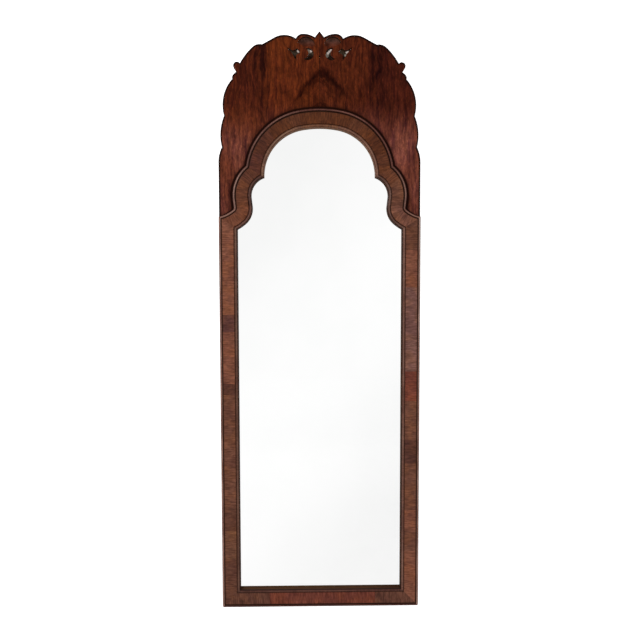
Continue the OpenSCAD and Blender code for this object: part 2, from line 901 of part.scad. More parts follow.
left_stile();
right_stile();
bottom_rail();
left_toe_block();
right_toe_block();
left_shoulder_block();
right_shoulder_block();
left_haunch_block();
right_haunch_block();
crown_block();
left_stile_banding();
right_stile_banding();
bottom_banding();
left_toe_banding();
right_toe_banding();
left_shoulder_banding();
right_shoulder_banding();
arch_banding();
left_stile_bead();
right_stile_bead();
bottom_bead();
left_toe_bead();
right_toe_bead();
left_shoulder_bead();
right_shoulder_bead();
left_haunch_bead();
right_haunch_bead();
crown_bead();
left_sight_bead();
right_sight_bead();
bottom_sight_bead();
left_toe_sight_bead();
right_toe_sight_bead();
left_shoulder_sight_bead();
right_shoulder_sight_bead();
left_haunch_sight_bead();
right_haunch_sight_bead();
crown_sight_bead();
crest_board();
left_crest_veneer();
right_crest_veneer();
left_batten();
right_batten();
batten_screws();
mirror_plate();
lining_paper();
setting_blocks();
lower_backboard();
middle_backboard();
upper_backboard();
arched_backboard();
backboard_screws();
left_hanger_plate();
right_hanger_plate();
left_hanger_ring();
right_hanger_ring();
hanger_screws();
wall_pads();
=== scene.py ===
# %% [markdown]
# # A pier mirror, dressed for its picture
# The mirror's frame is a pine carcass faced with thin walnut. Its front is cross-banded: short strips
# of veneer are laid side by side with their grain running across the moulding. A half-round bead runs
# along the outer edge and another next to the glass. Behind the arched head stands a thin crest board,
# faced with two leaves of figured walnut and pierced near its tip.
#
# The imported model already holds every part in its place. This lesson loads it, makes finer pieces for
# the veneer and the beads, and gives every part its finish.

# %% Load the model of the mirror
import math

import bpy
import numpy as np
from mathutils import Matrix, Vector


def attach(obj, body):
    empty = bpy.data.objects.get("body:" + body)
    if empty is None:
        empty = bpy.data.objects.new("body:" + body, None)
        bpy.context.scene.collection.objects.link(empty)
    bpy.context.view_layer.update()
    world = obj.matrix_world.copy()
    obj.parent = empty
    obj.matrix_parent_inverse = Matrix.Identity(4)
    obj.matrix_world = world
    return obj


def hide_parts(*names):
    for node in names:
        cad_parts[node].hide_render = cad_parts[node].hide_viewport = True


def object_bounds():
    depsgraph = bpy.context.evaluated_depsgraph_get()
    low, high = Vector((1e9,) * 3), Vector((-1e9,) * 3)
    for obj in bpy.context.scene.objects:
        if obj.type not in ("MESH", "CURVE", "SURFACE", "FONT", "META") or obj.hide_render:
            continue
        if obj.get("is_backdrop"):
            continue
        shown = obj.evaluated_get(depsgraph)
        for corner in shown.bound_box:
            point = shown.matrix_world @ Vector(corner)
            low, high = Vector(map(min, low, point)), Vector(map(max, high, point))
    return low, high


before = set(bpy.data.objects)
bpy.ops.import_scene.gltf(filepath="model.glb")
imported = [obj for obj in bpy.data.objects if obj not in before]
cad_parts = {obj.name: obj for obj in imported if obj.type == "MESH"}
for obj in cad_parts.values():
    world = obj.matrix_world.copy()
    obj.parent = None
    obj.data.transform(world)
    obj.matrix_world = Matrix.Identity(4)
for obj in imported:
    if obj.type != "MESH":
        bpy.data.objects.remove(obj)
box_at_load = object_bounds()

# %% [markdown]
# ## The outline of the frame
# A joiner sets the head out with a compass: a flat arc at the crown, a rounder one at each haunch, a
# shoulder, a short straight, a small kink and the toe that sweeps out to the stile. Every line of the
# moulding keeps an even distance from the outer edge, so one inset describes it.
#
# The outline could be drawn by hand as a curve object and swept. Here each arc keeps its own centre
# and radius instead, because an inset then only changes the radius, and every strip and bead follows
# the model exactly.

# %% Sizes of the frame, in metres
MM = 0.001
HALF_WIDTH = 247.5 * MM
STILE_TOP = 981 * MM
RAIL = 45 * MM
CARCASS = 20 * MM
VENEER = 1.6 * MM
CREST_TOP = STILE_TOP + 447 * MM
CREST_FRONT = 9 * MM
CREST_VENEER = 1.2 * MM
SIGHT_X = HALF_WIDTH - RAIL
print("the mirror is", round(2 * HALF_WIDTH / MM), "mm wide and", round(CREST_TOP / MM), "mm high")

# %% Centres and radii of the head's arcs
CROWN_R, HAUNCH_R, SHOULDER_R, KINK_R, TOE_R = 285 * MM, 158 * MM, 91 * MM, 5 * MM, 80 * MM
HAUNCH_OUT, HAUNCH_UP = 23 * MM, 100.5 * MM
KINK_INSET = 32.4 * MM
LEAN, LEAN_LENGTH = math.radians(6.7), 19.8 * MM
TOE_DIRECTION = math.radians(50)
UPRIGHT = math.pi / 2


def toward(angle):
    """The point one unit away from the origin in the direction of an angle: (cosine, sine)."""
    return np.stack([np.cos(angle), np.sin(angle)], axis=-1)


haunch = np.array([HAUNCH_OUT, STILE_TOP + HAUNCH_UP])
crown_half = math.asin(haunch[0] / (CROWN_R - HAUNCH_R))
crown = np.array([0, haunch[1] - (CROWN_R - HAUNCH_R) * math.cos(crown_half)])
toe_x = HALF_WIDTH - KINK_INSET + (TOE_R - KINK_R) * math.cos(TOE_DIRECTION)
toe = np.array([toe_x, STILE_TOP + math.sqrt(TOE_R**2 - (toe_x - HALF_WIDTH) ** 2)])
kink = toe - (TOE_R - KINK_R) * toward(TOE_DIRECTION)
lean_foot = kink - KINK_R * toward(-LEAN)
shoulder = lean_foot - SHOULDER_R * toward(-LEAN) + LEAN_LENGTH * toward(UPRIGHT - LEAN)
print("crown centre", crown.round(4), "shoulder centre", shoulder.round(4), "toe centre", toe.round(4))

# %% The mitres, each from its sight edge to its outer edge
def meeting(c1, r1, c2, r2):
    """Where two circles cross, left of the line between their centres: cosine rule, then a right angle."""
    gap = np.linalg.norm(c2 - c1)
    along = (r1 * r1 - r2 * r2 + gap * gap) / (2 * gap)
    unit = (c2 - c1) / gap
    return c1 + along * unit + math.sqrt(r1 * r1 - along * along) * np.array([-unit[1], unit[0]])


cusp_sight = meeting(haunch, HAUNCH_R - RAIL, shoulder, SHOULDER_R - RAIL)
cusp_outer = meeting(haunch, HAUNCH_R, shoulder, SHOULDER_R)
toe_sight = np.array([SIGHT_X, toe[1] - math.sqrt((TOE_R + RAIL) ** 2 - (toe[0] - SIGHT_X) ** 2)])
toe_outer = np.array([HALF_WIDTH, STILE_TOP])


def angle_at_mitre(centre, radius, sight, outer):
    """Angle at which circles about a centre cross a mitre line.

    The distance s along the line solves |sight + s * direction - centre| = radius, and of the two
    answers the one closest to half the mitre's length is taken.
    """
    direction = (outer - sight) / np.linalg.norm(outer - sight)
    from_centre = sight - centre
    half_b = from_centre @ direction
    root = np.sqrt(half_b**2 - from_centre @ from_centre + radius**2)
    reach = np.linalg.norm(outer - sight) / 2
    near, far = -half_b - root, -half_b + root
    s = np.where(np.abs(near - reach) < np.abs(far - reach), near, far)
    point = sight + s[:, None] * direction
    return np.arctan2(point[:, 1] - centre[1], point[:, 0] - centre[0])


print("mitre at the cusp", round(float(np.linalg.norm(cusp_outer - cusp_sight)) / MM, 1), "mm long")

# %% [markdown]
# ## Courses: the ways along the moulding
# A course says where a point goes when it travels along one length of the frame at a given inset. It
# is a grid of points, one row for each step along and one column for each inset. Two kinds are
# enough: rows on circles about one centre, and rows on straight lines. A third number at each point
# tells how far along the moulding it lies, so that the grain stays square to the moulding right into
# a mitre, as it does in real strips that were cut after they were laid.

# %% Rows on arcs and on straights
STEP = 3 * MM


def arc_rows(centre, radius, start, stop, step=STEP):
    """centre + radius * (cos a, sin a), where a goes evenly from start to stop in every column."""
    start, stop = np.broadcast_to(start, radius.shape), np.broadcast_to(stop, radius.shape)
    count = max(3, int(np.ceil(np.max(np.abs(stop - start) * radius) / step)) + 1)
    share = np.linspace(0, 1, count)[:, None]
    angle = start + (stop - start) * share
    turned = angle - start.mean()
    along = np.abs(turned) * np.sign(turned * (stop - start).mean()) * radius.mean()
    return np.concatenate([centre + radius[:, None] * toward(angle), along[..., None]], axis=-1)


def straight_rows(start, stop):
    """start + (stop - start) * share, for a share that goes evenly from 0 to 1 in every column."""
    count = max(3, int(np.ceil(np.max(np.linalg.norm(stop - start, axis=-1)) / STEP)) + 1)
    share = np.linspace(0, 1, count)[:, None, None]
    points = start + (stop - start) * share
    heading = (stop - start).mean(axis=0)
    along = (points - start.mean(axis=0)) @ (heading / np.linalg.norm(heading))
    return np.concatenate([points, along[..., None]], axis=-1)


def joined(*lengths):
    """Lengths that follow each other, without the repeated row where they meet; along goes on counting."""
    whole = lengths[0]
    for rows in lengths[1:]:
        rows = rows.copy()
        rows[..., 2] += whole[-1, :, 2].mean() - rows[0, :, 2].mean()
        whole = np.concatenate([whole, rows[1:]])
    return whole


print("rows on a straight of 45 mm:", len(straight_rows(np.zeros((1, 2)), np.array([[RAIL, 0]]))))

# %% The courses of the head's right half, each as a function of the insets
def crown_course(inset):
    """The flat arc over the middle line, from left to right."""
    return arc_rows(crown, CROWN_R - inset, UPRIGHT + crown_half, UPRIGHT - crown_half)


def haunch_course(inset, start=UPRIGHT - crown_half, stop=None):
    """The rounder arc beside the crown, down to the cusp's mitre unless it stops earlier."""
    if stop is None:
        stop = angle_at_mitre(haunch, HAUNCH_R - inset, cusp_sight, cusp_outer)
    return arc_rows(haunch, HAUNCH_R - inset, start, stop)


def shoulder_course(inset, start=None, stop=None):
    """The shoulder's arc and, unless it stops earlier, the leaning straight below it."""
    radius = SHOULDER_R - inset
    if start is None:
        start = angle_at_mitre(shoulder, radius, cusp_sight, cusp_outer)
    if stop is not None:
        return arc_rows(shoulder, radius, start, stop)
    top = shoulder + radius[:, None] * toward(-LEAN)
    foot = top - LEAN_LENGTH * toward(UPRIGHT - LEAN)
    return joined(arc_rows(shoulder, radius, start, -LEAN), straight_rows(top, foot))


def toe_course(inset):
    """The kink's small arc, whose radius grows with the inset, and then the toe's."""
    stop = angle_at_mitre(toe, TOE_R + inset, toe_sight, toe_outer)
    stop = np.where(stop < 0, stop + 2 * math.pi, stop)
    turn = math.pi + TOE_DIRECTION
    return joined(
        arc_rows(kink, KINK_R + inset, math.pi - LEAN, turn, step=2 * MM),
        arc_rows(toe, TOE_R + inset, turn, stop),
    )


print("rows along the crown:", len(crown_course(np.zeros(1))), "along a toe:", len(toe_course(np.zeros(1))))

# %% The straight courses
def stile_course(inset, top=None, foot=None):
    """Down the stile, from the toe's mitre or a joint to a joint or the bottom mitre."""
    share = inset / RAIL
    top = toe_outer[1] + (toe_sight[1] - toe_outer[1]) * share if top is None else np.full_like(inset, top)
    foot = inset if foot is None else np.full_like(inset, foot)
    x = HALF_WIDTH - inset
    return straight_rows(np.stack([x, top], -1), np.stack([x, foot], -1))


def bottom_course(inset, start=None, stop=None):
    """Along the bottom rail from right to left, between its mitres or joints."""
    start = HALF_WIDTH - inset if start is None else np.full_like(inset, start)
    stop = inset - HALF_WIDTH if stop is None else np.full_like(inset, stop)
    return straight_rows(np.stack([start, inset], -1), np.stack([stop, inset], -1))


print("rows on a stile:", len(stile_course(np.zeros(1))), "on the bottom:", len(bottom_course(np.zeros(1))))

# %% [markdown]
# ## Carrying a section along a course
# A plane iron or a scratch stock cuts one section into a long piece of wood. The same is done here:
# a closed section, given as insets and heights above the carcass, is carried along a course, and its
# two ends are closed. Small dents and a slow waviness are added to the heights, because hand work is
# never quite even and the light shows it.

# %% The faces of a grid that closes round a section
def at_corners(grid):
    """A grid's values at the four corners of every face, where the last column meets the first again."""
    steps, columns = grid.shape[:2]
    i, j = np.meshgrid(np.arange(steps - 1), np.arange(columns), indexing="ij")
    corners = ((i, j), (i, j + 1), (i + 1, j + 1), (i + 1, j))
    return np.stack([grid[row, column % columns] for row, column in corners], 2)


def waviness(x, z, size):
    """A slow, fixed ripple: three crossing sine waves of about 40 to 90 mm, size high."""
    wave = np.sin(71 * x + 97 * z) + np.sin(113 * x - 61 * z + 1.7) + np.sin(151 * z + 0.6)
    return size * wave / 3


print("a grid of 3 rows and 4 columns has", at_corners(np.zeros((3, 4))).size // 4, "faces")

# %% A closed piece from a section and a course
def carried(section, course, tone=(1, 1, 1), ripple=0.0, dents=(), front=CARCASS, shift=0.0):
    """A closed solid: column j of the course runs at the inset section[j, 0] and stands section[j, 1]
    proud of the front of the carcass. Its grid is closed round the section and capped at both ends."""
    rows = course(section[:, 0])
    x, z = rows[..., 0], rows[..., 1]
    height = np.broadcast_to(section[:, 1], x.shape).copy()
    proud = np.clip(height / section[:, 1].max(), 0, 1)
    height += proud * waviness(x, z, ripple)
    for dent_x, dent_z, dent_r, deep in dents:
        height -= proud * deep * np.exp(-((x - dent_x) ** 2 + (z - dent_z) ** 2) / dent_r**2)
    numbers = np.arange(x.size).reshape(x.shape)
    along = at_corners(rows[..., 2] + shift)
    inset = at_corners(np.broadcast_to(section[:, 0], x.shape))
    loop = np.vstack([section, section[:1]])
    around = np.concatenate([[0], np.cumsum(np.linalg.norm(np.diff(loop, axis=0), axis=1))])
    around = np.stack([around[:-1], around[1:], around[1:], around[:-1]], -1)
    return {
        "points": np.stack([x, -(front + height), z], -1).reshape(-1, 3),
        "quads": at_corners(numbers).reshape(-1, 4),
        "caps": [numbers[0, ::-1], numbers[-1]],
        "grain": np.stack([along, np.broadcast_to(around, along.shape)], -1).reshape(-1, 4, 2),
        "place": np.stack([along, inset], -1).reshape(-1, 4, 2),
        "cap_map": np.stack([np.zeros(len(section)), section[:, 0]], -1),
        "tone": tone,
    }


def mirrored(part):
    """The same piece on the other side of the middle line: x changes its sign."""
    return dict(part, points=part["points"] * np.array([-1, 1, 1]))


plain = carried(np.array([(0, 0), (0, VENEER), (RAIL, VENEER), (RAIL, 0)]), crown_course)
print("a plain strip over the crown has", len(plain["quads"]), "faces and two ends")

# %% Turn a part's faces outwards
def outward(points, quads):
    """True if the faces enclose a positive volume, summed over tetrahedra from the origin."""
    a, b, c, d = (points[quads[:, n]] for n in range(4))
    return np.einsum("ij,ij->i", a, np.cross(b, c) + np.cross(c, d)).sum() > 0


def facing_out(part):
    """The part's faces, ends and maps, with the corners in reverse order where it was inside out."""
    quads, caps, grain, place = part["quads"], part["caps"], part["grain"], part["place"]
    cap_maps = [part["cap_map"][::-1], part["cap_map"]]
    centred = part["points"] - part["points"].mean(axis=0)
    if not outward(centred, quads):
        quads, grain, place = quads[:, ::-1], grain[:, ::-1], place[:, ::-1]
        caps, cap_maps = [cap[::-1] for cap in caps], [cap_map[::-1] for cap_map in cap_maps]
    return quads, caps, grain.reshape(-1, 2), place.reshape(-1, 2), cap_maps


print("the plain strip was inside out:", not np.array_equal(facing_out(plain)[0], plain["quads"]))

# %% Put parts into one mesh
SHARP = math.radians(38)


def mesh_of(name, parts):
    """The parts' points and faces one after the other, with two maps, grain and place, and the tone."""
    points, tones, loops, totals, grains, places = [], [], [], [], [], []
    base = 0
    for part in parts:
        quads, caps, grain, place, cap_maps = facing_out(part)
        points.append(part["points"])
        tones.append(np.tile([*part["tone"], 1.0], len(part["points"])))
        loops += [(quads + base).ravel()] + [cap + base for cap in caps]
        totals += [np.full(len(quads), 4), [len(cap) for cap in caps]]
        grains += [grain] + cap_maps
        places += [place] + cap_maps
        base += len(part["points"])
    totals = np.concatenate(totals).astype(np.int32)
    mesh = bpy.data.meshes.new(name)
    mesh.vertices.add(base)
    mesh.vertices.foreach_set("co", np.concatenate(points).astype(np.float32).ravel())
    mesh.loops.add(int(totals.sum()))
    mesh.loops.foreach_set("vertex_index", np.concatenate(loops).astype(np.int32))
    mesh.polygons.add(len(totals))
    mesh.polygons.foreach_set("loop_start", np.cumsum(totals, dtype=np.int32) - totals)
    mesh.polygons.foreach_set("loop_total", totals)
    mesh.polygons.foreach_set("use_smooth", np.ones(len(totals), bool))
    mesh.update(calc_edges=True)
    for label, values in (("grain", grains), ("place", places)):
        layer = mesh.uv_layers.new(name=label)
        layer.data.foreach_set("uv", np.concatenate(values).astype(np.float32).ravel())
    colours = mesh.attributes.new("tone", "FLOAT_COLOR", "POINT")
    colours.data.foreach_set("color", np.concatenate(tones).astype(np.float32))
    mesh.validate()
    mesh.set_sharp_from_angle(angle=SHARP)
    return mesh


print("edges that turn by more than", round(math.degrees(SHARP)), "degrees stay sharp")

# %% Make a piece that stands for parts of the model
def mesh_piece(name, parts, nodes):
    """One object from closed parts; it rides with the frame and replaces these nodes of the model."""
    piece = bpy.data.objects.new(name, mesh_of(name, parts))
    bpy.context.scene.collection.objects.link(piece)
    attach(piece, "frame")
    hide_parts(*nodes)
    return piece


print("parts of the model that a piece may stand for or dress:", len(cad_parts))

# %% [markdown]
# ## The cross-banding
# Walnut veneer is sawn into short lengths and laid with the grain across the moulding, so that each
# strip has its own tone: orange sapwood edges, plain brown, and dark pieces cut near a knot. The
# strips meet in hairlines, which wear lets open a little.
#
# A striped picture could fake this, but the hairlines would have no edge. Each strip is therefore a
# separate thin slab, and its tone is stored on its points.

# %% The tones of the strips
def paint(red, green, blue):
    """Turns a colour written as 0 to 255 on screen into the linear values that shaders use."""
    c = np.array([red, green, blue]) / 255
    return tuple(np.where(c <= 0.04045, c / 12.92, ((c + 0.055) / 1.055) ** 2.4))


ORANGE = paint(124, 78, 60)
TAN = paint(113, 76, 57)
BROWN = paint(108, 70, 55)
UMBER = paint(97, 62, 49)
DARK = paint(84, 52, 43)
PURPLE = paint(94, 59, 52)
REDDISH = paint(116, 64, 50)
PINK_GREY = paint(120, 85, 76)
print("the orange strips' linear colour:", np.round(ORANGE, 3))

# %% The section of a strip of veneer
FIELD_START, FIELD_END, HAIRLINE = 7.4 * MM, 36 * MM, 0.15 * MM


def strip_section(columns=9, ease=0.25 * MM):
    """A slab across the moulding: up one side, over an eased edge, across the top and down again."""
    inner = np.linspace(FIELD_START + 2 * ease, FIELD_END - 2 * ease, columns)
    near = [FIELD_START, FIELD_START, FIELD_START + ease]
    far = [FIELD_END - ease, FIELD_END, FIELD_END]
    across = np.concatenate([near, inner, far])
    high = np.full(len(across), VENEER)
    high[[0, -1]] = 0
    high[[1, -2]] = VENEER - ease
    high[[2, -3]] = VENEER - ease / 4
    return np.stack([across, high], -1)


STRIP = strip_section()
print("points in the strip's section:", len(STRIP))

# %% Lay the strips of the stiles
RIPPLE = 0.05 * MM
LEFT_JOINTS = [0.126, 0.2, 0.264, 0.376, 0.552, 0.58, 0.712, 0.755]
RIGHT_JOINTS = [0.144, 0.198, 0.252, 0.373, 0.434, 0.534, 0.61, 0.823, 0.917]
LEFT_TONES = [ORANGE, PURPLE, ORANGE, DARK, BROWN, BROWN, UMBER, TAN, UMBER]
RIGHT_TONES = [UMBER, ORANGE, PINK_GREY, REDDISH, BROWN, DARK, BROWN, ORANGE, BROWN, ORANGE]


def stile_strips(joints, tones):
    """From the toe's mitre to the bottom mitre; each joint is level, at a share of the stile's height."""
    tops = [None] + [share * STILE_TOP - HAIRLINE / 2 for share in joints[::-1]]
    feet = [share * STILE_TOP + HAIRLINE / 2 for share in joints[::-1]] + [None]
    return [
        carried(
            STRIP, lambda inset: stile_course(inset, top, foot), tone, RIPPLE, shift=0.07 + 0.41 * number
        )
        for number, (top, foot, tone) in enumerate(zip(tops, feet, tones))
    ]


left_stile_strips = [mirrored(part) for part in stile_strips(LEFT_JOINTS, LEFT_TONES)]
right_stile_strips = stile_strips(RIGHT_JOINTS, RIGHT_TONES)
print("strips on the stiles:", len(left_stile_strips), len(right_stile_strips))

# %% Lay the strips of the bottom rail, from right to left
RAIL_JOINTS = [(0.78 - 0.5) * 2 * HALF_WIDTH, (0.24 - 0.5) * 2 * HALF_WIDTH]
RAIL_TONES = [UMBER, paint(108, 58, 46), UMBER]
rail_starts = [None] + [joint - HAIRLINE / 2 for joint in RAIL_JOINTS]
rail_stops = [joint + HAIRLINE / 2 for joint in RAIL_JOINTS] + [None]
bottom_strips = [
    carried(STRIP, lambda inset: bottom_course(inset, start, stop), tone, RIPPLE, shift=0.53 * number)
    for number, (start, stop, tone) in enumerate(zip(rail_starts, rail_stops, RAIL_TONES))
]
print("strips on the bottom rail:", len(bottom_strips))

# %% How the strips of the head are cut
OLIVE = paint(86, 47, 26)
HEAD_BROWN = paint(92, 53, 33)
HEAD_UMBER = paint(82, 46, 32)
HEAD_PURPLE = paint(80, 44, 35)


def slanted(angle, lean, radius, side):
    """A joint on an arc: angle + lean * (0.5 - share of the width), and half a hairline to one side."""
    half_gap = side * HAIRLINE / 2 / radius
    return lambda inset: math.radians(angle) + math.radians(lean) * (0.5 - inset / RAIL) + half_gap


def haunch_strips(tones, mid=HAUNCH_R - RAIL / 2):
    """The four strips of a haunch, from the crown to the cusp, parted by three slanted joints."""
    joints = [(68, -7), (46, 5), (22, -4)]
    made = []
    for number, tone in enumerate(tones):
        first = slanted(*joints[number - 1], mid, -1) if number else None
        last = slanted(*joints[number], mid, 1) if number < len(joints) else None

        def course(inset):
            """The haunch between the strip's two joints."""
            start = UPRIGHT - crown_half if first is None else first(inset)
            return haunch_course(inset, start, None if last is None else last(inset))

        made.append(carried(STRIP, course, tone, RIPPLE, shift=0.29 * number + 0.2))
    return made


def shoulder_strips(upper, lower, mid=SHOULDER_R - RAIL / 2):
    """The two strips of a shoulder, above and below one slanted joint."""
    above, below = slanted(28, 6, mid, 1), slanted(28, 6, mid, -1)
    return [
        carried(STRIP, lambda inset: shoulder_course(inset, None, above(inset)), upper, RIPPLE, shift=0.6),
        carried(STRIP, lambda inset: shoulder_course(inset, below(inset)), lower, RIPPLE, shift=0.9),
    ]


first_joint = math.degrees(slanted(68, -7, HAUNCH_R, 0)(0.0))
print("a haunch's first joint meets the outer edge at", round(first_joint, 1), "degrees")

# %% Lay the strips of the head
left_haunch_strips = [mirrored(p) for p in haunch_strips([HEAD_BROWN, OLIVE, HEAD_UMBER, HEAD_PURPLE])]
crown_strip = carried(STRIP, crown_course, OLIVE, RIPPLE, shift=1.3)
right_haunch_strips = haunch_strips([OLIVE, HEAD_BROWN, OLIVE, HEAD_BROWN])
arch_strips = left_haunch_strips + [crown_strip] + right_haunch_strips
left_shoulder_strips = [mirrored(p) for p in shoulder_strips(paint(88, 51, 37), paint(98, 58, 40))]
right_shoulder_strips = shoulder_strips(paint(100, 60, 42), paint(104, 67, 51))
left_toe_strip = mirrored(carried(STRIP, toe_course, paint(107, 64, 46), RIPPLE, shift=1.7))
right_toe_strip = carried(STRIP, toe_course, paint(117, 77, 62), RIPPLE, shift=2.3)
print("strips round the arch:", len(arch_strips))

# %% The pieces of veneer, one for each part of the model
lengths_of_veneer = {
    "left_stile": left_stile_strips,
    "right_stile": right_stile_strips,
    "bottom": bottom_strips,
    "left_toe": [left_toe_strip],
    "right_toe": [right_toe_strip],
    "left_shoulder": left_shoulder_strips,
    "right_shoulder": right_shoulder_strips,
    "arch": arch_strips,
}
veneers = [
    mesh_piece("veneer_" + label, strips, [label + "_banding"])
    for label, strips in lengths_of_veneer.items()
]
print("faces in the veneers:", sum(len(piece.data.polygons) for piece in veneers))

# %% [markdown]
# ## The beads
# Both beads are cross-grain walnut, glued on in short lengths and rounded with a scratch stock. Along
# the outer edge the bead guards the veneer, so it carries knocks; next to the glass a wider one
# covers the edge of the carcass.
#
# A bevel on a curve would give the round too. Carrying the real section keeps the low straight foot
# under the round and lets the dents be cut where the old frame has them. Each length has a tone for
# either side, and the tones hold painted light and shade: the light reached the two sides, the head
# and the bottom differently, and hands wore them differently too.

# %% The section of a bead
FOOT = 0.6 * MM
OUTER_WIDTH, OUTER_RISE = 5.8 * MM, 2.7 * MM
SIGHT_WIDTH, SIGHT_RISE = 8 * MM, 2.8 * MM


def bead_section(start, width, rise, columns=13):
    """A foot with a segment of a circle on it, whose radius is (half width^2 + rise^2) / (2 * rise)."""
    half = width / 2
    radius = (half**2 + rise**2) / (2 * rise)
    reach = math.asin(min(1, half / radius))
    swing = np.linspace(-reach, reach, columns)
    across = start + half + radius * np.sin(swing)
    high = FOOT + rise - radius + radius * np.cos(swing)
    insets = np.concatenate([[start], across, [start + width]])
    return np.stack([insets, np.concatenate([[0], high, [0]])], -1)


OUTER_BEAD = bead_section(0, OUTER_WIDTH, OUTER_RISE)
SIGHT_BEAD = bead_section(RAIL - SIGHT_WIDTH, SIGHT_WIDTH, SIGHT_RISE)
print("the sight bead stands", round(SIGHT_BEAD[:, 1].max() / MM, 2), "mm proud of the carcass")

# %% Knocks in the beads, in millimetres: where across and up, how far they reach, how deep they are
BEAD_LINE = HALF_WIDTH / MM - 3
OUTER_KNOCKS = [(BEAD_LINE, 822, 2.2, 0.9), (BEAD_LINE, 770, 1.8, 0.8), (BEAD_LINE, 505, 2.6, 0.5)]
OUTER_KNOCKS += [(BEAD_LINE, 260, 2, 0.6), (BEAD_LINE, 90, 3, 0.6), (-BEAD_LINE, 700, 2.4, 0.5)]
OUTER_KNOCKS += [(-BEAD_LINE, 430, 2, 0.7), (-BEAD_LINE, 214, 3, 0.5), (-BEAD_LINE, 60, 2.5, 0.7)]
SIGHT_KNOCKS = [(206, 812, 2.4, 0.8), (206, 760, 2, 0.7), (-206, 896, 2.6, 0.9)]
SIGHT_KNOCKS += [(-205, 380, 3, 0.5), (60, 41, 3, 0.5), (-120, 40, 2.5, 0.5)]
print("knocks in the outer bead:", len(OUTER_KNOCKS), "in the sight bead:", len(SIGHT_KNOCKS))

# %% The bottom corners, worn round
CORNER = 4 * MM


def worn_corners(part):
    """Pulls what lies outside the 4 mm rounding of a bottom corner back onto its circle."""
    points = part["points"].copy()
    x, z = np.abs(points[:, 0]) - (HALF_WIDTH - CORNER), CORNER - points[:, 2]
    far = np.hypot(x, z)
    outside = (x > 0) & (z > 0) & (far > CORNER)
    pull = CORNER / np.maximum(far, CORNER)
    points[:, 0] = np.where(outside, np.sign(points[:, 0]) * (HALF_WIDTH - CORNER + x * pull), points[:, 0])
    points[:, 2] = np.where(outside, CORNER - z * pull, points[:, 2])
    return dict(part, points=points)


print("the bottom corners are worn to a radius of", round(CORNER / MM), "mm")

# %% The tones of the beads, for the left and the right side, with painted light and shade in them
# The bottom lengths are painted darker, and the two sides differ as the light fell on them differently.
OUTER_LIT_TONES = {
    "haunch": (paint(84, 50, 42), paint(78, 42, 34)),
    "shoulder": (paint(100, 66, 57), paint(88, 54, 45)),
    "toe": (paint(104, 68, 58), paint(92, 56, 46)),
    "stile": (paint(110, 72, 62), paint(112, 78, 68)),
    "crown": paint(72, 38, 31),
    "bottom": paint(62, 31, 24),
}
SIGHT_LIT_TONES = {
    "haunch": (paint(104, 70, 54), paint(104, 68, 54)),
    "shoulder": (paint(66, 38, 31), paint(84, 56, 47)),
    "toe": (paint(80, 47, 38), paint(80, 51, 42)),
    "stile": (paint(86, 55, 44), paint(100, 65, 54)),
    "crown": paint(106, 68, 48),
    "bottom": paint(74, 42, 34),
}
print("places along a bead that have tones of their own:", len(OUTER_LIT_TONES))

# %% Lengths of bead, one for each part of the model
BEAD_RIPPLE = 0.06 * MM
SIDE_COURSES = {
    "haunch": haunch_course,
    "shoulder": shoulder_course,
    "toe": toe_course,
    "stile": stile_course,
}


def bead_lengths(kind, section, tones, knocks):
    """The ten lengths of a bead: crown, bottom, and a haunch, shoulder, toe and stile on each side."""
    dents = [tuple(value * MM for value in knock) for knock in knocks]
    flipped = [(-x, z, r, d) for x, z, r, d in dents]
    ending = "_bead" if kind == "bead" else "_sight_bead"
    crown_length = carried(section, crown_course, tones["crown"], BEAD_RIPPLE, dents)
    bottom_length = carried(section, bottom_course, tones["bottom"], BEAD_RIPPLE, dents, shift=3)
    made = [
        mesh_piece(f"{kind}_crown", [crown_length], ["crown" + ending]),
        mesh_piece(f"{kind}_bottom", [worn_corners(bottom_length)], ["bottom" + ending]),
    ]
    for number, (label, course) in enumerate(SIDE_COURSES.items()):
        left_tone, right_tone = tones[label]
        right = carried(section, course, right_tone, BEAD_RIPPLE, dents, shift=0.7 * number)
        left = carried(section, course, left_tone, BEAD_RIPPLE, flipped, shift=0.7 * number + 0.33)
        for side, part in (("right", worn_corners(right)), ("left", mirrored(worn_corners(left)))):
            stem = side if (kind, label) == ("sight", "stile") else f"{side}_{label}"
            made.append(mesh_piece(f"{kind}_{side}_{label}", [part], [stem + ending]))
    return made


outer_beads = bead_lengths("bead", OUTER_BEAD, OUTER_LIT_TONES, OUTER_KNOCKS)
sight_beads = bead_lengths("sight", SIGHT_BEAD, SIGHT_LIT_TONES, SIGHT_KNOCKS)
print("lengths of bead:", len(outer_beads), len(sight_beads))

# %% [markdown]
# ## The blocks of the arched head
# The head can't be bent from one board, so it was sawn from short blocks, glued at their ends. Their
# front edge is the reveal that shows before the glass, where a coarse curve would catch the light in
# steps. They are carried along the same courses as the beads, with the rebates in their section.

# %% The carcass's section, with its two rebates
SEAT, REBATE = RAIL - 14 * MM, RAIL - 8 * MM
GLASS_FRONT, BOARD_DEPTH = 9.5 * MM, 5 * MM
BLOCK = np.array([
    (0, 0), (0, CARCASS), (RAIL, CARCASS), (RAIL, GLASS_FRONT),
    (REBATE, GLASS_FRONT), (REBATE, BOARD_DEPTH), (SEAT, BOARD_DEPTH), (SEAT, 0),
])
crown_block = carried(BLOCK, crown_course, front=0.0)
head_blocks = [mesh_piece("block_crown", [crown_block], ["crown_block"])]
for label in ("haunch", "shoulder", "toe"):
    block = carried(BLOCK, SIDE_COURSES[label], front=0.0)
    for side, part in (("right", block), ("left", mirrored(block))):
        head_blocks.append(mesh_piece(f"block_{side}_{label}", [part], [f"{side}_{label}_block"]))
print("blocks in the head:", len(head_blocks))

# %% [markdown]
# ## The crest's two leaves
# The crest is faced with two neighbouring leaves of the same log, opened like a book, so that their
# figure meets at the middle line. Each leaf fills the space between the arch and the scalloped edge.
#
# That space is star-shaped about a point low on the middle line: every ray from there crosses the
# arch once and the scalloped edge once. So the leaf is a function of two parameters, the ray and the
# share of the way between the two edges, which gives an even grid without any hand-made points.

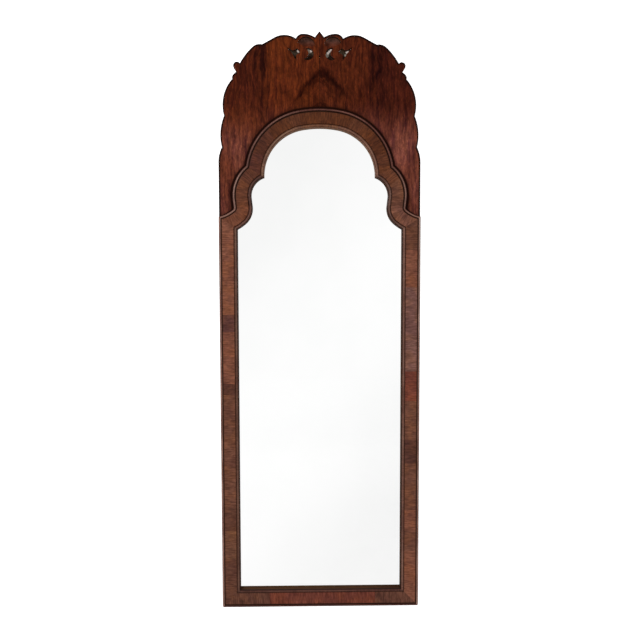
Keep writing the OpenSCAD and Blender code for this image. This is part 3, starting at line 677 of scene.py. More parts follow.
# %% The scalloped edge, from the tip down
def bow(p, q, rise, steps=10):
    """Points of a shallow arc from p to q: half its angle is 2 * atan(2 * rise / chord)."""
    p, q = np.array(p), np.array(q)
    chord = np.linalg.norm(q - p)
    along = (q - p) / chord
    out = np.array([-along[1], along[0]])
    if abs(rise) < 1e-5:
        return p + (q - p) * np.linspace(0, 1, steps + 1)[1:, None]
    half = 2 * math.atan(2 * rise / chord)
    radius = chord / 2 / math.sin(half)
    turn = np.linspace(-half, half, steps + 1)[1:, None]
    return (p + q) / 2 + along * radius * np.sin(turn) + out * radius * (np.cos(turn) - math.cos(half))


def bows(stops):
    """The arcs from each stop to the next; a stop is x, z and the rise of the arc that ends there."""
    return np.concatenate([bow(p[:2], q[:2], q[2]) for p, q in zip(stops, stops[1:])])


from_tip = [(0, 0, 0), (11, 14.4, 0.3), (43, 6.1, 2.7), (57.5, 17.4, 2.2), (108, 14.3, 7), (139.5, 31.5, 0)]
from_corner = [(84.5, 409, 3.2), (54.2, 370.5, 2), (38.7, 361, 8.4), (47.1, 350.6, 0), (36.2, 341.5, 1)]
from_corner += [(35.5, 333.5, 0.8), (14.7, 245, 11.7), (8.6, 169.5, 6.1), (0, 137, 1.7), (0, 0, 0)]
stops = [(x * MM, CREST_TOP - down * MM, rise * MM) for x, down, rise in from_tip]
stops += [(HALF_WIDTH - x * MM, STILE_TOP + up * MM, rise * MM) for x, up, rise in from_corner]
scallops = np.concatenate([[stops[0][:2]], bows(stops)])
print("points on the scalloped edge:", len(scallops))

# %% The arch's edge, from the crown down to the stile
CLEARANCE = 0.05 * MM
edge = np.array([-CLEARANCE])
toe_end = 2 * math.pi - math.acos((HALF_WIDTH - toe[0]) / (TOE_R + edge[0]))
arch_edge = joined(
    arc_rows(crown, CROWN_R - edge, UPRIGHT, UPRIGHT - crown_half),
    haunch_course(edge),
    shoulder_course(edge),
    arc_rows(kink, KINK_R + edge, math.pi - LEAN, math.pi + TOE_DIRECTION, step=MM),
    arc_rows(toe, TOE_R + edge, math.pi + TOE_DIRECTION, toe_end),
)[:, 0, :2]
print("points on the arch:", len(arch_edge))

# %% Rays between the two edges
STAR = np.array([0, STILE_TOP + 19 * MM])


def polar(points):
    """Angle and distance of each point from the star's centre."""
    away = points - STAR
    return np.arctan2(away[:, 1], away[:, 0]), np.hypot(away[:, 0], away[:, 1])


inner_angle, inner_far = polar(arch_edge)
outer_angle, outer_far = polar(scallops)
last = max(inner_angle.min(), outer_angle.min())
ray_angle = np.concatenate([inner_angle, outer_angle, np.linspace(UPRIGHT, last, 260)])
ray_angle = np.unique(np.round(ray_angle, 6))[::-1]
ray_angle = ray_angle[(ray_angle <= UPRIGHT) & (ray_angle >= last)]
ray_inner = np.interp(ray_angle, inner_angle[::-1], inner_far[::-1])
ray_outer = np.interp(ray_angle, outer_angle[::-1], outer_far[::-1])
turning_back = [int((np.diff(angle) > 1e-6).sum()) for angle in (inner_angle, outer_angle)]
print("rays:", len(ray_angle), "steps that turn back on the arch and on the scallops:", turning_back)

# %% A slab across the rays, with eased edges
def ray_section(thick, columns, ease=0.2 * MM):
    """Heights at shares of the way from the arch to the scalloped edge, closer together near both edges."""
    shares = 0.5 - 0.5 * np.cos(np.linspace(0, math.pi, columns))
    shares = np.concatenate([[0, 0], shares[1:-1], [1, 1]])
    high = np.full(len(shares), thick)
    high[[0, -1]] = 0
    high[[1, -2]] = thick - ease
    high[[2, -3]] = thick - ease / 6
    return np.stack([shares, high], -1)


def ray_rows(angle, inner, outer, shares, least=None):
    """Star centre + direction of the ray * distance, which goes from the arch's to the scalloped edge's."""
    far = inner[:, None] + (outer - inner)[:, None] * shares
    spots = STAR + far[..., None] * toward(angle)[:, None, :]
    if least is not None:
        spots[..., 0] = np.maximum(spots[..., 0], least)
    return np.concatenate([spots, far[..., None]], axis=-1)


def star_slab(section, angle, inner, outer, tone, front, least=None):
    """A slab between the two edges; its place map keeps the distances from the arch and the scallops."""
    part = carried(section, lambda shares: ray_rows(angle, inner, outer, shares, least), tone, front=front)
    near = (outer - inner)[:, None] * section[:, 0]
    rim = np.stack([near, (outer - inner)[:, None] - near], -1)
    return dict(part, place=at_corners(rim).reshape(-1, 4, 2))


print("points in a leaf's section:", len(ray_section(CREST_VENEER, 44)))

# %% The leaves and the board behind them
def leaf(tone, side):
    """One leaf, which stops half a hairline short of the middle line."""
    section = ray_section(CREST_VENEER, 44)
    part = star_slab(section, ray_angle, ray_inner, ray_outer, tone, CREST_FRONT, HAIRLINE / 2)
    return part if side == "right" else mirrored(part)


def board(tone):
    """The board behind both leaves: the rays of the right half, then those of the left."""
    angle = np.concatenate([ray_angle[::-1], (math.pi - ray_angle)[1:]])
    inner, outer = (np.concatenate([far[::-1], far[1:]]) for far in (ray_inner, ray_outer))
    return star_slab(ray_section(CREST_FRONT, 12, 0.02 * MM), angle, inner, outer, tone, 0.0)


print("the leaf reaches", round(float(ray_outer.max() / MM)), "mm from the star's centre")

# %% [markdown]
# ## The pierced fretwork
# Three openings on each side of the tip were sawn through board and veneer with a fretsaw: an eye, a
# comma and a tulip. They are cut here with a Boolean modifier, whose cutters are prisms of the same
# outlines, so that the opening's walls stand square like a saw cut.

# %% The circles and stops of the openings, in millimetres from the tip
EYE_LID, EYE_UNDER = ((32.5, -33), 20.6), ((25.9, 7), 43.6)
COMMA, COMMA_BITE = ((29, -54.5), 14.4), ((39.5, -52.5), 12.6)
TULIP = [(81.5, -36.5, 0), (66, -45.5, 0.5), (55, -40, 1.5), (46.5, -52.5, -1.2), (56.5, -57, 1)]
TULIP += [(54.5, -70.5, 0.8), (67.5, -51.5, -1), (81.5, -36.5, -0.5)]
PEG = ((0, -61), 2)


def round_part(centre, radius, start, stop, steps=24):
    """Points on a circle from one angle to the other, in degrees."""
    angle = np.radians(np.linspace(start, stop, steps))
    return np.array(centre) + radius * toward(angle)


def crossings(c1, r1, c2, r2):
    """The two angles, about c1, at which circle 1 crosses circle 2."""
    away = np.array(c2, float) - np.array(c1, float)
    gap = np.hypot(*away)
    swing = math.acos((r1 * r1 + gap * gap - r2 * r2) / (2 * r1 * gap))
    heading = math.atan2(away[1], away[0])
    return math.degrees(heading - swing), math.degrees(heading + swing)


print("the eye's circles cross at", np.round(crossings(*EYE_LID, *EYE_UNDER), 1), "degrees")

# %% Outlines of the openings
def eye_outline():
    """What two circles share: the lid's and, from below, a much larger one's."""
    low, high = crossings(*EYE_LID, *EYE_UNDER)
    under_low, under_high = crossings(*EYE_UNDER, *EYE_LID)
    under = round_part(*EYE_UNDER, under_low, under_high)[1:-1]
    return np.concatenate([round_part(*EYE_LID, low, high), under])


def comma_outline():
    """A circle without a second one, which leaves a crescent."""
    low, high = crossings(*COMMA, *COMMA_BITE)
    bite_low, bite_high = crossings(*COMMA_BITE, *COMMA)
    bite = round_part(*COMMA_BITE, bite_high, bite_low)[1:-1]
    return np.concatenate([round_part(*COMMA, high, low + 360), bite])


outlines = {
    "eye": eye_outline(),
    "comma": comma_outline(),
    "tulip": bows(TULIP),
    "peg": round_part(*PEG, 0, 360, 25)[:-1],
}
for label, outline in outlines.items():
    print(label, "reaches from", outline.min(axis=0).round(1), "to", outline.max(axis=0).round(1))

# %% Cut the openings
PAST = 2 * MM


def prism(name, outline, side):
    """A cutter: the outline, moved to the tip, drawn out from behind the board to before the veneer."""
    spots = outline * MM * np.array([side, 1]) + np.array([0, CREST_TOP])
    count = len(spots)
    depths = np.repeat([PAST, -CREST_FRONT - CREST_VENEER - PAST], count)
    points = np.stack([np.tile(spots[:, 0], 2), depths, np.tile(spots[:, 1], 2)], -1)
    n = np.arange(count)
    walls = np.stack([n, (n + 1) % count, (n + 1) % count + count, n + count], -1).tolist()
    mesh = bpy.data.meshes.new(name)
    mesh.from_pydata(points.tolist(), [], walls + [n[::-1].tolist(), (n + count).tolist()])
    if not outward(points - points.mean(axis=0), np.array(walls)):
        mesh.flip_normals()
    mesh.update()
    cutter = bpy.data.objects.new(name, mesh)
    bpy.context.scene.collection.objects.link(cutter)
    return cutter


def pierced(piece, tone, *which_sides):
    """Cuts the openings on these sides and the peg hole, and gives all of the piece one tone."""
    openings = [(label, side) for side in which_sides for label in ("eye", "comma", "tulip")]
    for label, side in openings + [("peg", 1)]:
        cutter = prism("cutter_" + label, outlines[label], side)
        cut = piece.modifiers.new(label, "BOOLEAN")
        cut.object, cut.operation, cut.solver = cutter, "DIFFERENCE", "EXACT"
        bpy.context.view_layer.update()
        evaluated = piece.evaluated_get(bpy.context.evaluated_depsgraph_get())
        result = bpy.data.meshes.new_from_object(evaluated)
        piece.modifiers.clear()
        piece.data = result
        bpy.data.objects.remove(cutter)
    mesh = piece.data
    tones = np.tile([*tone, 1.0], len(mesh.vertices)).astype(np.float32)
    mesh.attributes["tone"].data.foreach_set("color", tones)
    mesh.set_sharp_from_angle(angle=SHARP)
    return piece


print("the cutters are", round((CREST_FRONT + CREST_VENEER + 2 * PAST) / MM, 1), "mm deep")

# %% Make the leaves and the crest board
LEAF_TONES = {"left": paint(95, 41, 18), "right": paint(82, 34, 17)}
leaves = []
for side, tone in LEAF_TONES.items():
    piece = mesh_piece("leaf_" + side, [leaf(tone, side)], [side + "_crest_veneer"])
    before = len(piece.data.polygons)
    leaves.append(pierced(piece, tone, 1 if side == "right" else -1))
    print(side, "leaf: faces before and after the openings:", before, len(piece.data.polygons))

WHITE = (1, 1, 1)
whole_board = mesh_piece("board_crest", [board(WHITE)], ["crest_board"])
crest_board = pierced(whole_board, WHITE, 1, -1)
print("crest board:", len(crest_board.data.polygons), "faces")

# %% [markdown]
# ## Building finishes from nodes
# A finish is a small network: coordinates go into noises, noises into colours, roughness and bump. A
# short helper keeps each network readable: it adds one node and either sets or links its inputs. The
# sizes in these networks are metres, so a noise of scale 100 has clouds of about 10 mm.

# %% A helper that adds a node, and what the nodes read from a piece
def put(tree, kind, inputs=None, **settings):
    """Adds a node. inputs maps a socket's name or number to a value or to another node's socket."""
    node = tree.nodes.new(kind)
    for key, value in settings.items():
        setattr(node, key, value)
    for key, value in (inputs or {}).items():
        if isinstance(value, bpy.types.NodeSocket):
            tree.links.new(value, node.inputs[key])
        else:
            node.inputs[key].default_value = value
    return node


def spot_on(tree):
    """Where the point lies on the mirror, in metres."""
    return put(tree, "ShaderNodeTexCoord").outputs["Object"]


def map_of(tree, name):
    """The point's place on one of the piece's own maps."""
    return put(tree, "ShaderNodeUVMap", uv_map=name).outputs["UV"]


def tone_of(tree):
    """The tone that is stored on the piece's points."""
    return put(tree, "ShaderNodeAttribute", attribute_name="tone").outputs["Color"]


def axes(tree, vector):
    """The X, Y and Z of a vector."""
    return put(tree, "ShaderNodeSeparateXYZ", {"Vector": vector}).outputs


def facing(tree):
    """The X, Y and Z of the way a face looks; Y is -1 for a front."""
    return axes(tree, put(tree, "ShaderNodeNewGeometry").outputs["Normal"])


readers = (spot_on, map_of, tone_of, axes, facing)
print("what a finish can read:", [helper.__name__ for helper in readers])

# %% Helpers for patterns and sums
def noise(tree, vector, scale, detail=3, rough=0.55, distortion=0.0):
    """A cloudy value from 0 to 1: scale clouds to the metre, with detail finer ones upon them."""
    inputs = {"Vector": vector, "Scale": scale, "Detail": detail, "Roughness": rough}
    return put(tree, "ShaderNodeTexNoise", dict(inputs, Distortion=distortion)).outputs["Fac"]


def scaled(tree, vector, size, place=(0, 0, 0)):
    """vector * size + place: a size below 1 draws the pattern out along that axis."""
    inputs = {"Vector": vector, "Scale": size, "Location": place}
    return put(tree, "ShaderNodeMapping", inputs).outputs["Vector"]


def between(tree, value, low, high, to_low=0.0, to_high=1.0):
    """Maps low..high to to_low..to_high along a smooth S and stops there."""
    inputs = {"Value": value, "From Min": low, "From Max": high, "To Min": to_low, "To Max": to_high}
    return put(tree, "ShaderNodeMapRange", inputs, interpolation_type="SMOOTHSTEP").outputs["Result"]


def maths(tree, operation, a, b=0.0, c=0.0):
    """One operation on two or three values."""
    return put(tree, "ShaderNodeMath", {0: a, 1: b, 2: c}, operation=operation).outputs[0]


def product(tree, first, *others):
    """All the values multiplied."""
    for other in others:
        first = maths(tree, "MULTIPLY", first, other)
    return first


print("patterns and sums:", [helper.__name__ for helper in (noise, scaled, between, maths, product)])

# %% Helpers for colours
def blended(tree, share, a, b, kind="MIX"):
    """a * (1 - share) + b * share, for two colours."""
    a, b = ((*v, 1.0) if isinstance(v, tuple) and len(v) == 3 else v for v in (a, b))
    return put(tree, "ShaderNodeMix", {0: share, 6: a, 7: b}, data_type="RGBA", blend_type=kind).outputs[2]


def times(tree, a, b):
    """a * b, for two colours."""
    return blended(tree, 1.0, a, b, "MULTIPLY")


def even(tree, value):
    """A grey colour of this value."""
    return put(tree, "ShaderNodeCombineXYZ", {0: value, 1: value, 2: value}).outputs[0]


print("sums of colours:", [helper.__name__ for helper in (blended, times, even)])

# %% Start and end of a finish
def finish(name, roughness=0.5, specular=0.5, metallic=0.0):
    """A new material, its tree and its Principled shader, with even values set on its own sockets."""
    material = bpy.data.materials.new(name)
    material.use_nodes = True
    tree = material.node_tree
    tree.nodes.clear()
    values = {"Roughness": roughness, "Specular IOR Level": specular, "Metallic": metallic}
    shader = put(tree, "ShaderNodeBsdfPrincipled", values)
    put(tree, "ShaderNodeOutputMaterial", {"Surface": shader.outputs[0]})
    return material, tree, shader


def wear(tree, shader, colour, rough, height, distance):
    """Links a finish's colour, its roughness if that varies, and the height that its bump follows."""
    tree.links.new(colour, shader.inputs["Base Color"])
    if rough is not None:
        tree.links.new(rough, shader.inputs["Roughness"])
    bump = put(tree, "ShaderNodeBump", {"Strength": 1.0, "Distance": distance, "Height": height})
    tree.links.new(bump.outputs[0], shader.inputs["Normal"])


print("a finish starts with", finish.__name__, "and ends with", wear.__name__)

# %% [markdown]
# ## Walnut, cross-banded
# Across a strip the grain runs from edge to edge, so the pattern is stretched in that direction: fine
# dark pores are short dashes across the moulding, and the figure changes quickly along it. Old wax
# gathers in the quirks beside the beads and darkens them, and painted shade darkens the same narrow
# bands where the beads stand over the quirks, most of all round the head.

# %% The finish of the cross-banding
# A near-black for the quirks: wax, and painted shade in the narrow grooves.
WAX_AND_SHADE = (0.022, 0.006, 0.003)


def wax_and_shade_in_quirks(tree, inset, up):
    """How much wax and painted shade lie at an inset: narrow bands beside both beads, the outer one
    stronger on the head.
    """
    outer = between(tree, inset, FIELD_START, FIELD_START + 1.4 * MM, 0.45, 0.0)
    head = between(tree, up, STILE_TOP, STILE_TOP + 60 * MM)
    on_head = between(tree, inset, FIELD_START + 0.6 * MM, FIELD_START + 1.9 * MM, 0.96, 0.0)
    outer = maths(tree, "MAXIMUM", outer, product(tree, on_head, head))
    inner = between(tree, inset, FIELD_END - 1.2 * MM, FIELD_END, 0.0, 0.2)
    return maths(tree, "MAXIMUM", outer, inner)


def walnut_banding():
    """Each strip's tone, varied by slow clouds and fine streaks along its grain, with wax and painted shade
    in the quirks.
    """
    material, tree, shader = finish("walnut_cross_banding", specular=0.08)
    grain, spot, tone = map_of(tree, "place"), spot_on(tree), tone_of(tree)
    drift = noise(tree, spot, 21, 2, 0.5)
    warmth = noise(tree, scaled(tree, spot, (1, 1, 1), (5, 2, 1)), 33, 2, 0.5)
    streak = noise(tree, scaled(tree, grain, (1, 0.10, 1)), 420, 4, 0.65, 0.4)
    pore = noise(tree, scaled(tree, grain, (1, 0.09, 1)), 1600, 2, 0.6)
    flame = noise(tree, scaled(tree, grain, (1, 0.45, 1), (3, 0, 0)), 120, 3, 0.6, 1.0)
    cooler, warmer = times(tree, tone, (0.72, 0.66, 0.72)), times(tree, tone, (1.16, 1.08, 0.86))
    body = blended(tree, between(tree, drift, 0.36, 0.66, 0.0, 0.75), tone, cooler)
    body = blended(tree, between(tree, warmth, 0.42, 0.68, 0.0, 0.7), body, warmer)
    darker, paler = times(tree, body, (0.62, 0.56, 0.53)), times(tree, body, (1.30, 1.27, 1.24))
    colour = blended(tree, between(tree, streak, 0.34, 0.66), darker, paler)
    colour = times(tree, colour, even(tree, between(tree, flame, 0.33, 0.67, 0.80, 1.16)))
    colour = blended(tree, between(tree, pore, 0.62, 0.72, 0.0, 0.45), colour, (0.03, 0.013, 0.009))
    colour = blended(tree, wax_and_shade_in_quirks(tree, axes(tree, grain)["Y"], axes(tree, spot)["Z"]), colour, WAX_AND_SHADE)
    rough = between(tree, streak, 0.3, 0.7, 0.52, 0.4)
    wear(tree, shader, colour, rough, maths(tree, "MULTIPLY_ADD", pore, -0.4, streak), 0.1 * MM)
    return material


banding = walnut_banding()
for piece in veneers:
    piece.data.materials.append(banding)
print("nodes in the cross-banding's finish:", len(banding.node_tree.nodes))

# %% [markdown]
# ## Walnut beads
# The same wood, worn by hands and cloths. A paler line along its crest is a painted highlight, which
# comes and goes in patches. The height of the section is known from the map that runs round it: the
# low flanks get painted shade, with some dirt. Below a given height on the wall both flanks are
# darkened; above it the flank towards the glass gets less of this shade.

# %% The finish of the beads
def walnut_bead(name, section, painted_highlight, outer_dirt_and_shade, inner_dirt_and_shade, inner_shade_fades_above):
    """The length's tone, streaked along its grain, with a painted highlight on the crest and painted shade,
    with some dirt, on both flanks.
    """
    material, tree, shader = finish(name, specular=0.1)
    grain, spot, tone = map_of(tree, "grain"), spot_on(tree), tone_of(tree)
    around = axes(tree, grain)["Y"]
    middle = np.linalg.norm(np.diff(section, axis=0), axis=1).sum() / 2
    away = maths(tree, "ABSOLUTE", maths(tree, "SUBTRACT", around, middle))
    broad = noise(tree, spot, 24, 2)
    highlight_patches = noise(tree, scaled(tree, spot, (1, 1, 1), (2, 7, 4)), 13, 3)
    streak = noise(tree, scaled(tree, grain, (1, 0.2, 1)), 300, 4, 0.6)
    darker, paler = times(tree, tone, (0.62, 0.55, 0.52)), times(tree, tone, (1.25, 1.2, 1.15))
    shady = times(tree, tone, (0.6, 0.5, 0.5))
    colour = blended(tree, between(tree, streak, 0.35, 0.65), darker, paler)
    colour = blended(tree, between(tree, broad, 0.38, 0.66, 0.0, 0.7), colour, shady)
    # Painted shade, with some dirt, on both flanks; higher on the wall, less of it on the glass side.
    outer = between(tree, around, middle * 0.14, middle * 0.44, outer_dirt_and_shade, 0.0)
    inner = between(tree, around, middle * 1.3, middle * 1.62, 0.0, inner_dirt_and_shade)
    dark_below = between(tree, axes(tree, spot)["Z"], inner_shade_fades_above - 30 * MM, inner_shade_fades_above, 1.0, 0.15)
    dirt_and_shade = maths(tree, "MAXIMUM", outer, product(tree, inner, dark_below))
    colour = blended(tree, dirt_and_shade, colour, (0.014, 0.004, 0.002))
    # A painted highlight along the crest, in patches.
    crest = between(tree, away, middle * 0.08, middle * 0.34, painted_highlight, 0.0)
    crest = product(tree, crest, between(tree, highlight_patches, 0.36, 0.62, 0.3, 1.0))
    colour = blended(tree, crest, colour, times(tree, tone, (3.3, 5.0, 5.4)))
    wear(tree, shader, colour, between(tree, streak, 0.3, 0.7, 0.44, 0.32), streak, 0.1 * MM)
    return material


CUSP_HEIGHT = STILE_TOP + 110 * MM
outer_finish = walnut_bead("walnut_outer_bead", OUTER_BEAD, 0.62, 0.85, 0.9, inner_shade_fades_above=CREST_TOP)
sight_finish = walnut_bead("walnut_sight_bead", SIGHT_BEAD, 0.3, 0.45, 0.97, inner_shade_fades_above=CUSP_HEIGHT)
for pieces, bead_finish in ((outer_beads, outer_finish), (sight_beads, sight_finish)):
    for piece in pieces:
        piece.data.materials.append(bead_finish)
print("beads finished:", len(outer_beads) + len(sight_beads))

# %% [markdown]
# ## Figured walnut on the crest
# Where a saw runs near the fork of a tree, the year rings show as nested arches that run out into
# stripes at the sides. One arch near the middle is much darker than the rest, like an inverted V, and
# a broad dark stripe runs down each leaf. The arch lies where height + slope * across + bend *
# across^2 keeps one value, and the two leaves share it because across has no sign.
#
# A leaf is never even, so slow noises bend these lines, thin noises add the upright streaks, and
# rounder ones the flecks. The scalloped edge is darker; the corner beside the arch gets painted shade,
# with some dirt, where the frame stands proud of the leaf, and the distances kept in the place map find
# both. The low corners are warmer, partly the wood and partly a painted sheen.

# %% The stripes down the leaves
BAND = 143 * MM


def striped(tree, colour, tone, wander, up, stripe, streak):
    """Darkens a broad band and all that lies outside it, high on the crest, and then the thin streaks."""
    upper = between(tree, up, 1.19, 1.27)
    outside = product(tree, between(tree, wander, 135 * MM, 160 * MM, 0.0, 0.6), upper)
    colour = blended(tree, outside, colour, times(tree, tone, (0.52, 0.46, 0.85)))
    band = maths(tree, "ABSOLUTE", maths(tree, "SUBTRACT", wander, BAND))
    core = product(tree, between(tree, band, 3 * MM, 25 * MM, 0.9, 0.0), upper)
    core = product(tree, core, between(tree, stripe, 0.35, 0.6, 0.3, 1.0))
    colour = blended(tree, core, colour, times(tree, colour, (0.24, 0.2, 0.42)))
    wide, thin = between(tree, stripe, 0.46, 0.64, 0.0, 0.7), between(tree, streak, 0.42, 0.62, 0.0, 0.7)
    colour = blended(tree, wide, colour, times(tree, colour, (0.45, 0.38, 0.62)))
    return blended(tree, thin, colour, times(tree, colour, (0.42, 0.34, 0.52)))


print("the dark band runs", round(BAND / MM), "mm beside the middle line")

# %% The dark arch in the middle, and the value that it keeps on either leaf
ARCH_LEFT, ARCH_RIGHT = 1.328, 1.332


def arched(tree, colour, tone, side, up, curl):
    """Darkens the line where up + slope * across + bend * across^2 has one value, and fades it outwards."""
    across = maths(tree, "ABSOLUTE", side)
    steep = between(tree, side, -10 * MM, 10 * MM, 0.85, 0.66)
    slope = maths(tree, "MULTIPLY_ADD", across, steep, product(tree, across, across, 3.5))
    ring = maths(tree, "MULTIPLY_ADD", curl, 44 * MM, maths(tree, "ADD", up, slope))
    off = maths(tree, "SUBTRACT", ring, between(tree, side, -10 * MM, 10 * MM, ARCH_LEFT, ARCH_RIGHT))
    arch = between(tree, maths(tree, "ABSOLUTE", off), 1 * MM, 16 * MM, 0.9, 0.0)
    arch = product(tree, arch, between(tree, across, 42 * MM, 85 * MM, 1.0, 0.1))
    colour = blended(tree, arch, colour, times(tree, colour, (0.16, 0.10, 0.16)))
    above = product(tree, between(tree, off, 0.0, 4 * MM), between(tree, off, 10 * MM, 28 * MM, 1.0, 0.0))
    above = product(tree, above, between(tree, side, -4 * MM, 6 * MM, 0.15, 0.6))
    above = product(tree, above, between(tree, across, 20 * MM, 45 * MM, 1.0, 0.0))
    colour = blended(tree, above, colour, times(tree, tone, (0.22, 0.15, 0.2)))
    inputs = {"W": ring, "Scale": 75, "Detail": 2, "Roughness": 0.5}
    rings = put(tree, "ShaderNodeTexNoise", inputs, noise_dimensions="1D").outputs["Fac"]
    below = between(tree, off, -4 * MM, 0.0, 1.0, 0.0)
    below = product(tree, below, between(tree, rings, 0.5, 0.64, 0.0, 0.7))
    below = product(tree, below, between(tree, across, 8 * MM, 50 * MM, 1.0, 0.1))
    return blended(tree, below, colour, times(tree, tone, (0.25, 0.18, 0.22)))


print("the arch's point lies", round((CREST_TOP - ARCH_RIGHT) / MM), "mm below the tip")

# %% Painted shade and dirt beside the arch, and darker scallops and seam
SHADE_AND_DIRT_REACH = 9.5 * MM


def edge_shade_and_dirt(tree, colour, side):
    """Painted shade with some dirt on the leaf beside the arch's bead; darker along the scallops and at the
    seam on the middle line.
    """
    edges = axes(tree, map_of(tree, "place"))
    # Painted shade, with some dirt, beside the arch's bead, where the frame stands proud of the leaf.
    narrow = between(tree, edges["X"], 5.5 * MM, SHADE_AND_DIRT_REACH, 0.97, 0.0)
    wide = between(tree, edges["X"], 6 * MM, 15 * MM, 0.4, 0.0)
    colour = blended(tree, maths(tree, "MAXIMUM", narrow, wide), colour, (0.010, 0.002, 0.001))
    # Darker along the scalloped edge.
    rim = between(tree, edges["Y"], 3 * MM, 6.5 * MM, 0.95, 0.0)
    colour = blended(tree, rim, colour, (0.010, 0.003, 0.002))
    seam = between(tree, maths(tree, "ABSOLUTE", side), 0.3 * MM, 1.2 * MM, 0.6, 0.0)
    return blended(tree, seam, colour, (0.014, 0.005, 0.003))


# The painted shade and dirt reach this far up the leaf from the arch.
print("dirt reaches", round(SHADE_AND_DIRT_REACH / MM, 1), "mm up the leaf from the arch")

# %% The finish of the leaves
def walnut_crest():
    """The leaf's tone, warmer in the low corners with a painted sheen, with clouds, stripes, arch, flecks,
    pores, painted shade and dirt.
    """
    material, tree, shader = finish("walnut_figured_crest", specular=0.02)
    spot, tone = spot_on(tree), tone_of(tree)
    place = axes(tree, spot)
    side, up = place["X"], place["Z"]
    across = maths(tree, "ABSOLUTE", side)
    folded = put(tree, "ShaderNodeCombineXYZ", {0: across, 1: 0.0, 2: up}).outputs[0]
    bend = maths(tree, "SUBTRACT", noise(tree, scaled(tree, folded, (1, 1, 0.3)), 17, 3), 0.5)
    curl = maths(tree, "SUBTRACT", noise(tree, scaled(tree, spot, (1, 1, 0.8)), 62, 4, 0.7), 0.5)
    wander = maths(tree, "MULTIPLY_ADD", bend, 50 * MM, across)
    curled = maths(tree, "MULTIPLY_ADD", curl, 6 * MM, wander)
    fibre = put(tree, "ShaderNodeCombineXYZ", {0: curled, 1: side, 2: up}).outputs[0]
    streak = noise(tree, scaled(tree, fibre, (1, 0.12, 0.05)), 290, 4, 0.65)
    stripe = noise(tree, scaled(tree, fibre, (1, 0.1, 0.08), (0.3, 0, 0)), 120, 4, 0.65, 0.3)
    mottle = noise(tree, scaled(tree, spot, (1, 1, 0.42)), 88, 4, 0.65, 0.5)
    fleck = noise(tree, scaled(tree, spot, (1, 1, 0.3)), 380, 3, 0.6, 0.3)
    pore = noise(tree, scaled(tree, spot, (1, 1, 0.05)), 1100, 2, 0.6)
    cloud = noise(tree, scaled(tree, spot, (1, 1, 0.6)), 11, 2, 0.5)

    # The low corners: warmer wood, and a painted sheen that makes them paler.
    warm_and_sheen = blended(tree, between(tree, side, -0.1, 0.1), paint(118, 66, 52), paint(138, 79, 64))
    colour = blended(tree, between(tree, up, 1.13, 1.27, 0.85, 0.0), tone, warm_and_sheen)
    clouded = times(tree, tone, (1.12, 1.2, 0.95))
    colour = blended(tree, between(tree, cloud, 0.4, 0.65, 0.0, 0.5), colour, clouded)
    colour = striped(tree, colour, tone, wander, up, stripe, streak)
    colour = arched(tree, colour, tone, side, up, curl)
    colour = times(tree, colour, even(tree, between(tree, mottle, 0.32, 0.68, 0.66, 1.3)))
    flecked = times(tree, colour, (1.7, 1.65, 1.35))
    colour = blended(tree, between(tree, fleck, 0.5, 0.64, 0.0, 0.6), colour, flecked)
    colour = blended(tree, between(tree, pore, 0.62, 0.74, 0.0, 0.5), colour, (0.010, 0.004, 0.003))
    colour = edge_shade_and_dirt(tree, colour, side)
    wear(tree, shader, colour, between(tree, streak, 0.3, 0.7, 0.5, 0.42), streak, 0.06 * MM)
    return material


crest_finish = walnut_crest()
for piece in leaves:
    piece.data.materials.clear()
    piece.data.materials.append(crest_finish)
print("nodes in the leaves' finish:", len(crest_finish.node_tree.nodes))

# %% [markdown]
# ## Pine, inside and behind
# The carcass, the crest's board and the backboards are pine. At the back it has only been planed and
# has gone brown with age; at the sides, at the board's sawn edges and in the reveal before the glass
# it was stained dark to pass for walnut. One material serves each part: which way a face looks and
# how far forward it lies tell whether it was stained.
#
# A pale room shines strongly in any smooth face seen at a low angle, which would turn the dark walls
# of the openings grey. Where the stain lies, the wood's index of refraction falls to 1, and with it
# this shine.

# %% The finish of the pine
STAINED_FROM = -2 * MM
AGED, LATE_WOOD, BROWNED = (0.30, 0.165, 0.075), (0.17, 0.075, 0.03), (0.13, 0.066, 0.033)
STAIN, KNOT = (0.042, 0.018, 0.010), (0.07, 0.026, 0.012)


def stretched(tree, spot, axis, share):
    """The place, with its pattern drawn out along one axis."""
    size = [1.0, 1.0, 1.0]
    size[axis] = share
    return scaled(tree, spot, tuple(size))


